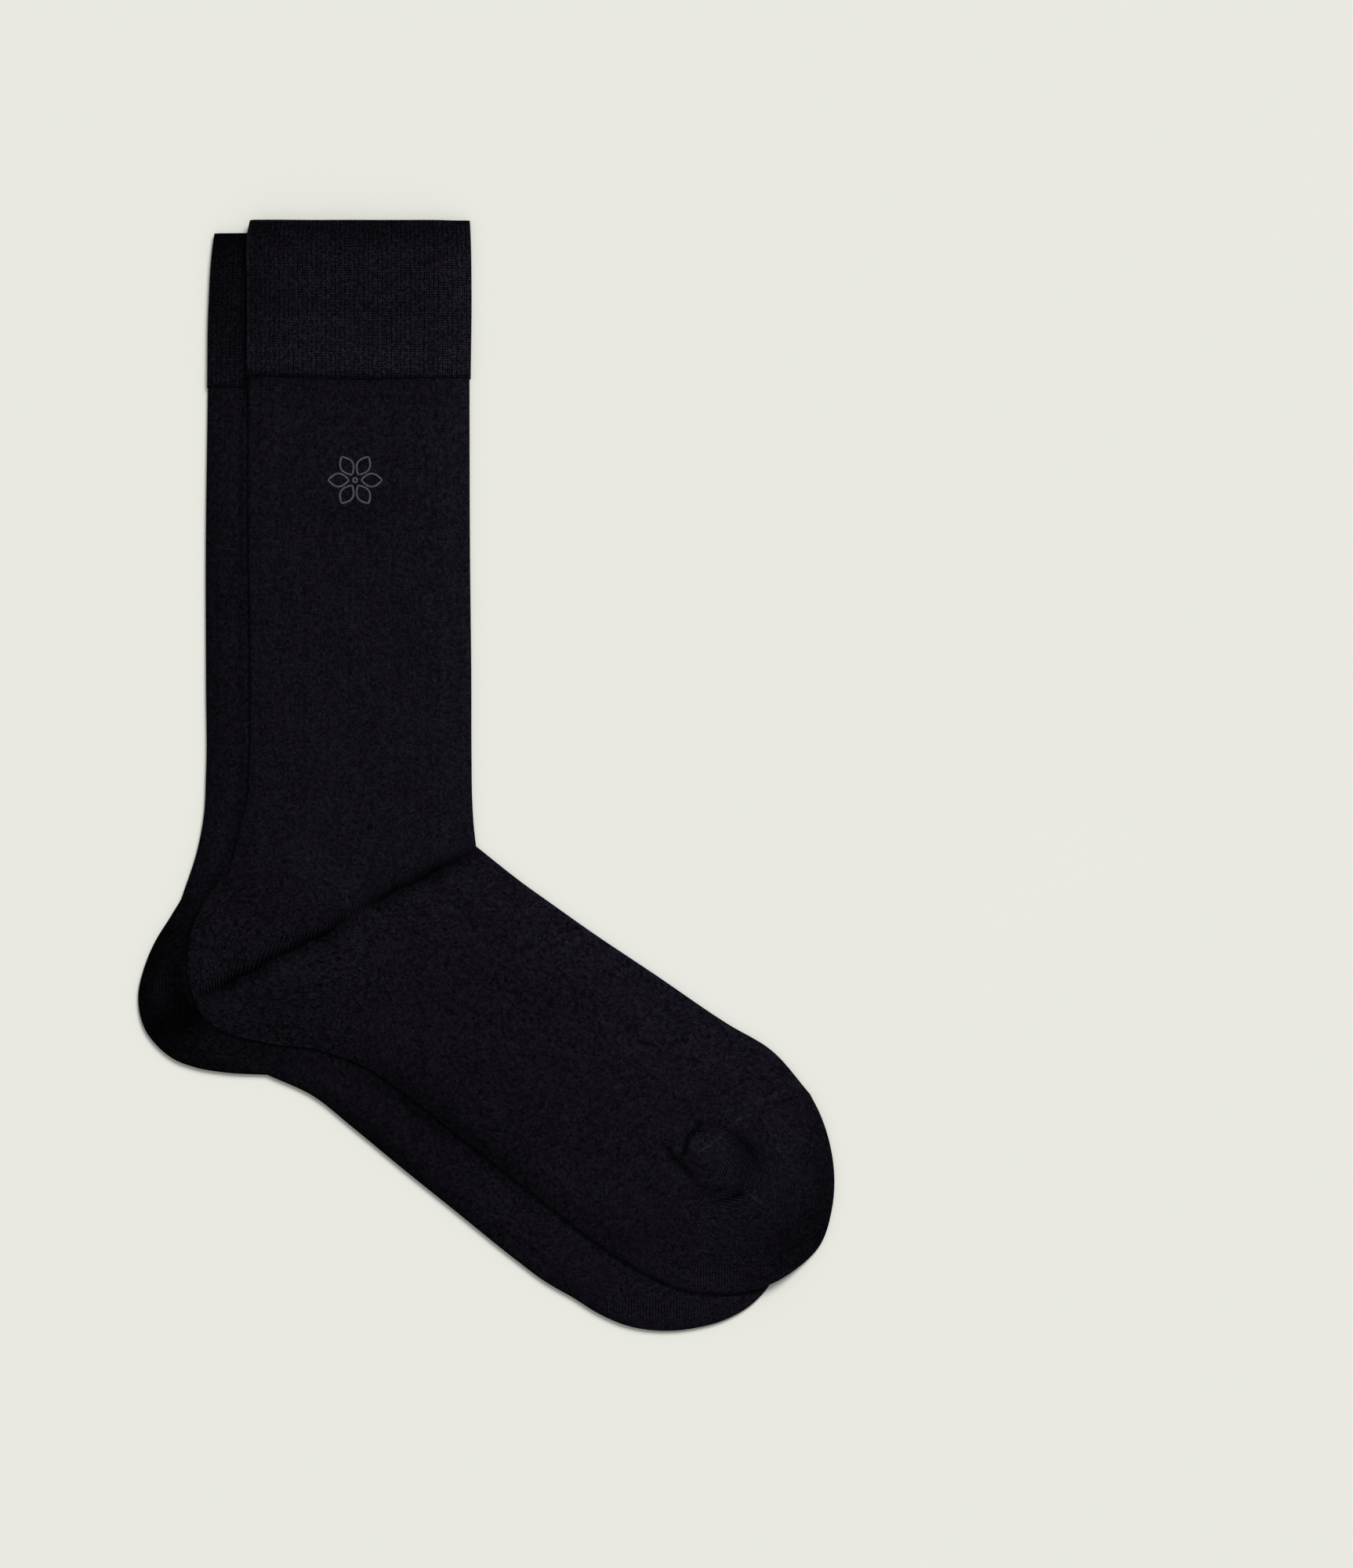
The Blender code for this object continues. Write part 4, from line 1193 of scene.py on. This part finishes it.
def thread_material():
    """Satin stitch, its threads lying across the band."""
    cloth = Cloth("grey_thread", 0.5, 0.35)
    along, _, _ = cloth.attribute("knit")
    turns = along / THREAD_PITCH
    ridge = 1.0 - (2.0 * turns.from_middle()) ** 2.0
    chance = cloth.chance(turns.floor(), 0.0, 1.0)
    value = (0.35 + 0.75 * ridge) * (0.75 + 0.5 * chance) * (1.0 + 0.8 * cloth.noise(0.35))
    cloth.colour(THREAD_GREY, value.at_least(0.1))
    cloth.bump(ridge, 0.12)
    return cloth.material


def floor_material():
    cloth = Cloth("pale_floor", 0.9, 0.1)
    cloth.colour(FLOOR, 1.0 + 0.01 * cloth.noise(150.0))
    return cloth.material


MATERIALS = {"cuff": cuff_material(1.0)}
for seed, (part, contrast) in enumerate(CONTRAST.items(), 2):
    MATERIALS[part] = knit_material(part, float(seed), contrast)


# ----------------------------------------------------------------- both socks


def make_sock(sock, bed):
    """The five pieces of one sock, laid on the given bed."""
    pieces = {}

    def add(part, grid, outer, place, wall, wraps, rims=(), dark=0.0):
        shell = Shell(outer, wall, wraps, rims)
        mesh, sources = shell.mesh(f"{sock.name}_{part}_cloth")
        add_shades(mesh, sock, grid, sources, place, dark)
        pieces[part] = new_object(mesh.name, mesh), cut_of(outer, wraps)

    def add_pocket(part, end, columns, bow, draw, start, seam=0.0, also_fine=()):
        """A plain pocket about the middle of the foot's end, its knit going on from start."""
        rims, places = rows_at(getattr(sock, part), *SPACING[part], also_fine)
        grid = pocket_rows(rims, places, np.array([end.side_x, end.side_y]), columns, bow)
        lift = seam * hump(places[:, None], *SEAM) * np.maximum(grid[:, :, 2], 0.0)
        outer = lay(sock, bed, grid, KNIT_HALF, lift)
        place = (grid[:, :, 3] * draw, start + places[:, None], 1.0 - 2.0 * grid[:, :, 4])
        add(part, grid, outer, place, CLOTH, False)

    # cuff: its mouth is open, and its foot overlaps the leg
    rows, places = rows_at(sock.cuff, *SPACING["cuff"])
    grid = tube_rows(rows, CUFF_COLUMNS)
    from_mouth, from_foot = places[:, None], (places[-1] - places)[:, None]
    lift = hump(from_foot, *CUFF_SWELL) + hump(from_mouth, *MOUTH_SINK)
    lift -= CUFF_ROLL * (1.0 - smooth_step(from_foot / CUFF_ROLL_WIDTH))
    ribs = cuff_grooves(grid) * smooth_step(from_mouth / MOUTH_FADE)
    outer = lay(sock, bed, grid, CUFF_HALF, lift, ribs)
    place = (grid[:, :, 4] * LEG_WIDTH, -from_foot, 1.0)
    add("cuff", grid, outer, place, CUFF_CLOTH, True, rims=(0, -1))

    # leg: it starts a little way up inside the cuff
    rows, places = rows_at(sock.leg, *SPACING["leg"])
    rows[0, 1::2] += LEG_INSIDE
    grid = tube_rows(rows, LEG_COLUMNS)
    from_cuff = places[:, None]
    grooves = wide_grooves(grid) * smooth_step(from_cuff / LEG_FADE)
    outer = lay(sock, bed, grid, KNIT_HALF, hump(from_cuff, *LEG_SINK), grooves)
    place = (grid[:, :, 4] * LEG_WIDTH, from_cuff, 1.0)
    fade = smooth_step((from_cuff - TONE_FROM) / TONE_FADE)
    # dark is the grooves' painted shade
    add("leg", grid, outer, place, CLOTH, True, dark=groove_shade(grid) * fade)
    leg_run = places[-1]

    # heel: its rows are close together at the end of the crease too
    rim, run = dense_curve(sock.heel)
    crease_end = np.array(sock.creases[0].points[0][:2])
    at = run[np.argmin(np.linalg.norm(rim - crease_end, axis=1))]
    add_pocket("heel", sock.foot[0], HEEL_COLUMNS, 0.0, HEEL_DRAW, leg_run, also_fine=(at,))

    # foot: plain on the sole's half and ribbed on the instep's
    foot_length = dense_curve(sock.foot)[1][-1]
    rows, places = rows_at(sock.foot, *SPACING["foot"], (foot_length - FINE_BEFORE_TOE,))
    grid = bow_instep(tube_rows(rows, FOOT_COLUMNS), places, sock.seam_bow)
    from_heel, from_toe = places[:, None], (places[-1] - places)[:, None]
    on_instep = smooth_step((grid[:, :, 4] - INSTEP_FROM) / INSTEP_BLEND)
    ribbed = on_instep * smooth_step(from_toe / PLAIN_FADE) * smooth_step(from_heel / PLAIN_FADE)
    seam = hump(from_toe, *SEAM) * on_instep * np.maximum(grid[:, :, 2], 0.0)
    outer = lay(sock, bed, grid, KNIT_HALF, seam, wide_grooves(grid) * ribbed)
    place = (grid[:, :, 4] * LEG_WIDTH, leg_run + from_heel, 1.0)
    add("foot", grid, outer, place, CLOTH, True, dark=INSTEP_SHADE * groove_shade(grid) * ribbed)

    foot_run = leg_run + places[-1]
    add_pocket("toe", sock.foot[-1], TOE_COLUMNS, sock.seam_bow, TOE_DRAW, foot_run, seam=1.0)
    return pieces


def declare(sock, pieces, on_leg=()):
    """Smooths each piece, gives it its material, puts it under the root and hides the part that it
    replaces.
    """
    for part, (obj, (width, length, area)) in pieces.items():
        obj.data.shade_smooth()
        obj.data.set_sharp_from_angle(angle=math.radians(SHARP_ANGLE))
        obj.data.materials.append(MATERIALS[part])
        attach(obj, "root")
        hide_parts(f"{sock.name}_{part}")
        on_leg if part == "leg" else ()


# ------------------------------------------------------------------ embroidery


def leaf(turn, inner, outer, width):
    """A closed pointed outline about the middle, turned by an angle."""
    s = np.linspace(0.0, 1.0, LEAF_POINTS)
    radius = inner + (outer - inner) * s
    side = 0.5 * width * np.sin(math.pi * s) ** PETAL_POWER
    out = np.column_stack([radius, side])
    back = np.column_stack([radius, -side])[-2:0:-1]
    c, s = math.cos(turn), math.sin(turn)
    return np.vstack([out, back]) @ np.array([[c, s], [-s, c]])


def ring(radius):
    turns = np.linspace(0.0, 2.0 * math.pi, LEAF_POINTS, endpoint=False)
    return radius * np.column_stack([np.cos(turns), np.sin(turns)])


def satin_band(line, surface_at):
    """Points and faces of a raised band of satin stitch along a closed line."""
    step = np.roll(line, -1, axis=0) - np.roll(line, 1, axis=0)
    step /= np.linalg.norm(step, axis=1, keepdims=True)
    left = np.column_stack([-step[:, 1], step[:, 0]])
    along = np.concatenate([[0.0], np.cumsum(np.linalg.norm(np.diff(line, axis=0), axis=1))])
    turns = np.radians(np.linspace(0.0, 180.0, BAND_POINTS))
    across = np.append(-0.5 * BAND_WIDTH * np.cos(turns), 0.0)
    rise = np.append(BAND_HEIGHT * np.sin(turns) - BAND_SUNK, -BAND_BACK)
    points, runs = [], []
    for place, side, run in zip(line, left, along):
        plan = place + across[:, None] * side
        ground = np.array([surface_at(point) for point in plan])
        points.append(np.column_stack([plan, ground + rise]))
        runs.append(np.full(len(plan), run))
    count = len(across)
    numbers = np.arange(len(line) * count).reshape(len(line), count)
    a, b = numbers, np.roll(numbers, -1, axis=0)
    c, d = np.roll(b, -1, axis=1), np.roll(a, -1, axis=1)
    faces = np.stack([a, b, c, d], axis=2).reshape(-1, 4)
    return np.vstack(points), faces, np.concatenate(runs)


def make_emblem(leg):
    """A six-petalled flower in outline, a plain traditional motif, on the leg's outer side."""
    tree = BVHTree.FromPolygons(
        [vertex.co[:] for vertex in leg.data.vertices],
        [polygon.vertices[:] for polygon in leg.data.polygons],
    )
    middle = np.array(EMBLEM_AT)

    def surface_at(point):
        x, y = (point[0] - CENTRE[0]) * MM, (point[1] - CENTRE[1]) * MM
        return tree.ray_cast(Vector((x, y, 1.0)), Vector((0.0, 0.0, -1.0)))[0].z / MM

    lines = [leaf(2.0 * math.pi * k / PETALS, *PETAL) for k in range(PETALS)] + [ring(EYE_RADIUS)]
    points, faces, runs = [], [], []
    for line in lines:
        some, squares, along = satin_band(middle + line, surface_at)
        faces.append(squares + sum(len(block) for block in points))
        points.append(some)
        runs.append(along)
    mesh = bpy.data.meshes.new("embroidered_flower")
    mesh.from_pydata(((np.vstack(points) - CENTRE) * MM).tolist(), [], np.vstack(faces).tolist())
    mesh.update()
    add_vectors(mesh, "knit", np.column_stack([np.concatenate(runs)] * 3))
    mesh.shade_smooth()
    mesh.materials.append(thread_material())
    obj = new_object(mesh.name, mesh)
    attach(obj, "root")
    return obj


bottom = make_sock(BOTTOM_SOCK, flat_bed)
top = make_sock(TOP_SOCK, bed_on(BOTTOM_SOCK))
emblem = make_emblem(top["leg"][0])
declare(BOTTOM_SOCK, bottom)
declare(TOP_SOCK, top, [emblem])

# ------------------------------------------------------- stage, light, camera

bpy.ops.mesh.primitive_plane_add(size=FLOOR_SIZE, location=(0.0, 0.0, FLOOR_LEVEL))
floor = bpy.context.object
floor.name = "floor"
floor.data.materials.append(floor_material())

world = bpy.context.scene.world or bpy.data.worlds.new("studio")
bpy.context.scene.world = world
world.use_nodes = True
background = world.node_tree.nodes["Background"]
background.inputs["Color"].default_value = (1.0, 1.0, 1.0, 1.0)
background.inputs["Strength"].default_value = SKY_LIGHT

sun = bpy.data.lights.new("softbox", "SUN")
sun.energy = SUN_LIGHT
sun.angle = math.radians(SUN_ANGLE)
lamp = new_object("softbox", sun)
lamp.rotation_euler = Vector(SUN_FROM).to_track_quat("Z", "Y").to_euler()
lamp.location = SUN_AT

camera = bpy.data.cameras.new("camera")
camera.sensor_width = 36.0
camera.lens = camera.sensor_width * CAMERA_HEIGHT / FRAME_HEIGHT
camera.clip_end = 20.0
eye = new_object("camera", camera)
eye.location = (*VIEW_MIDDLE, CAMERA_HEIGHT)
bpy.context.scene.camera = eye
bpy.context.scene.view_settings.view_transform = "Standard"
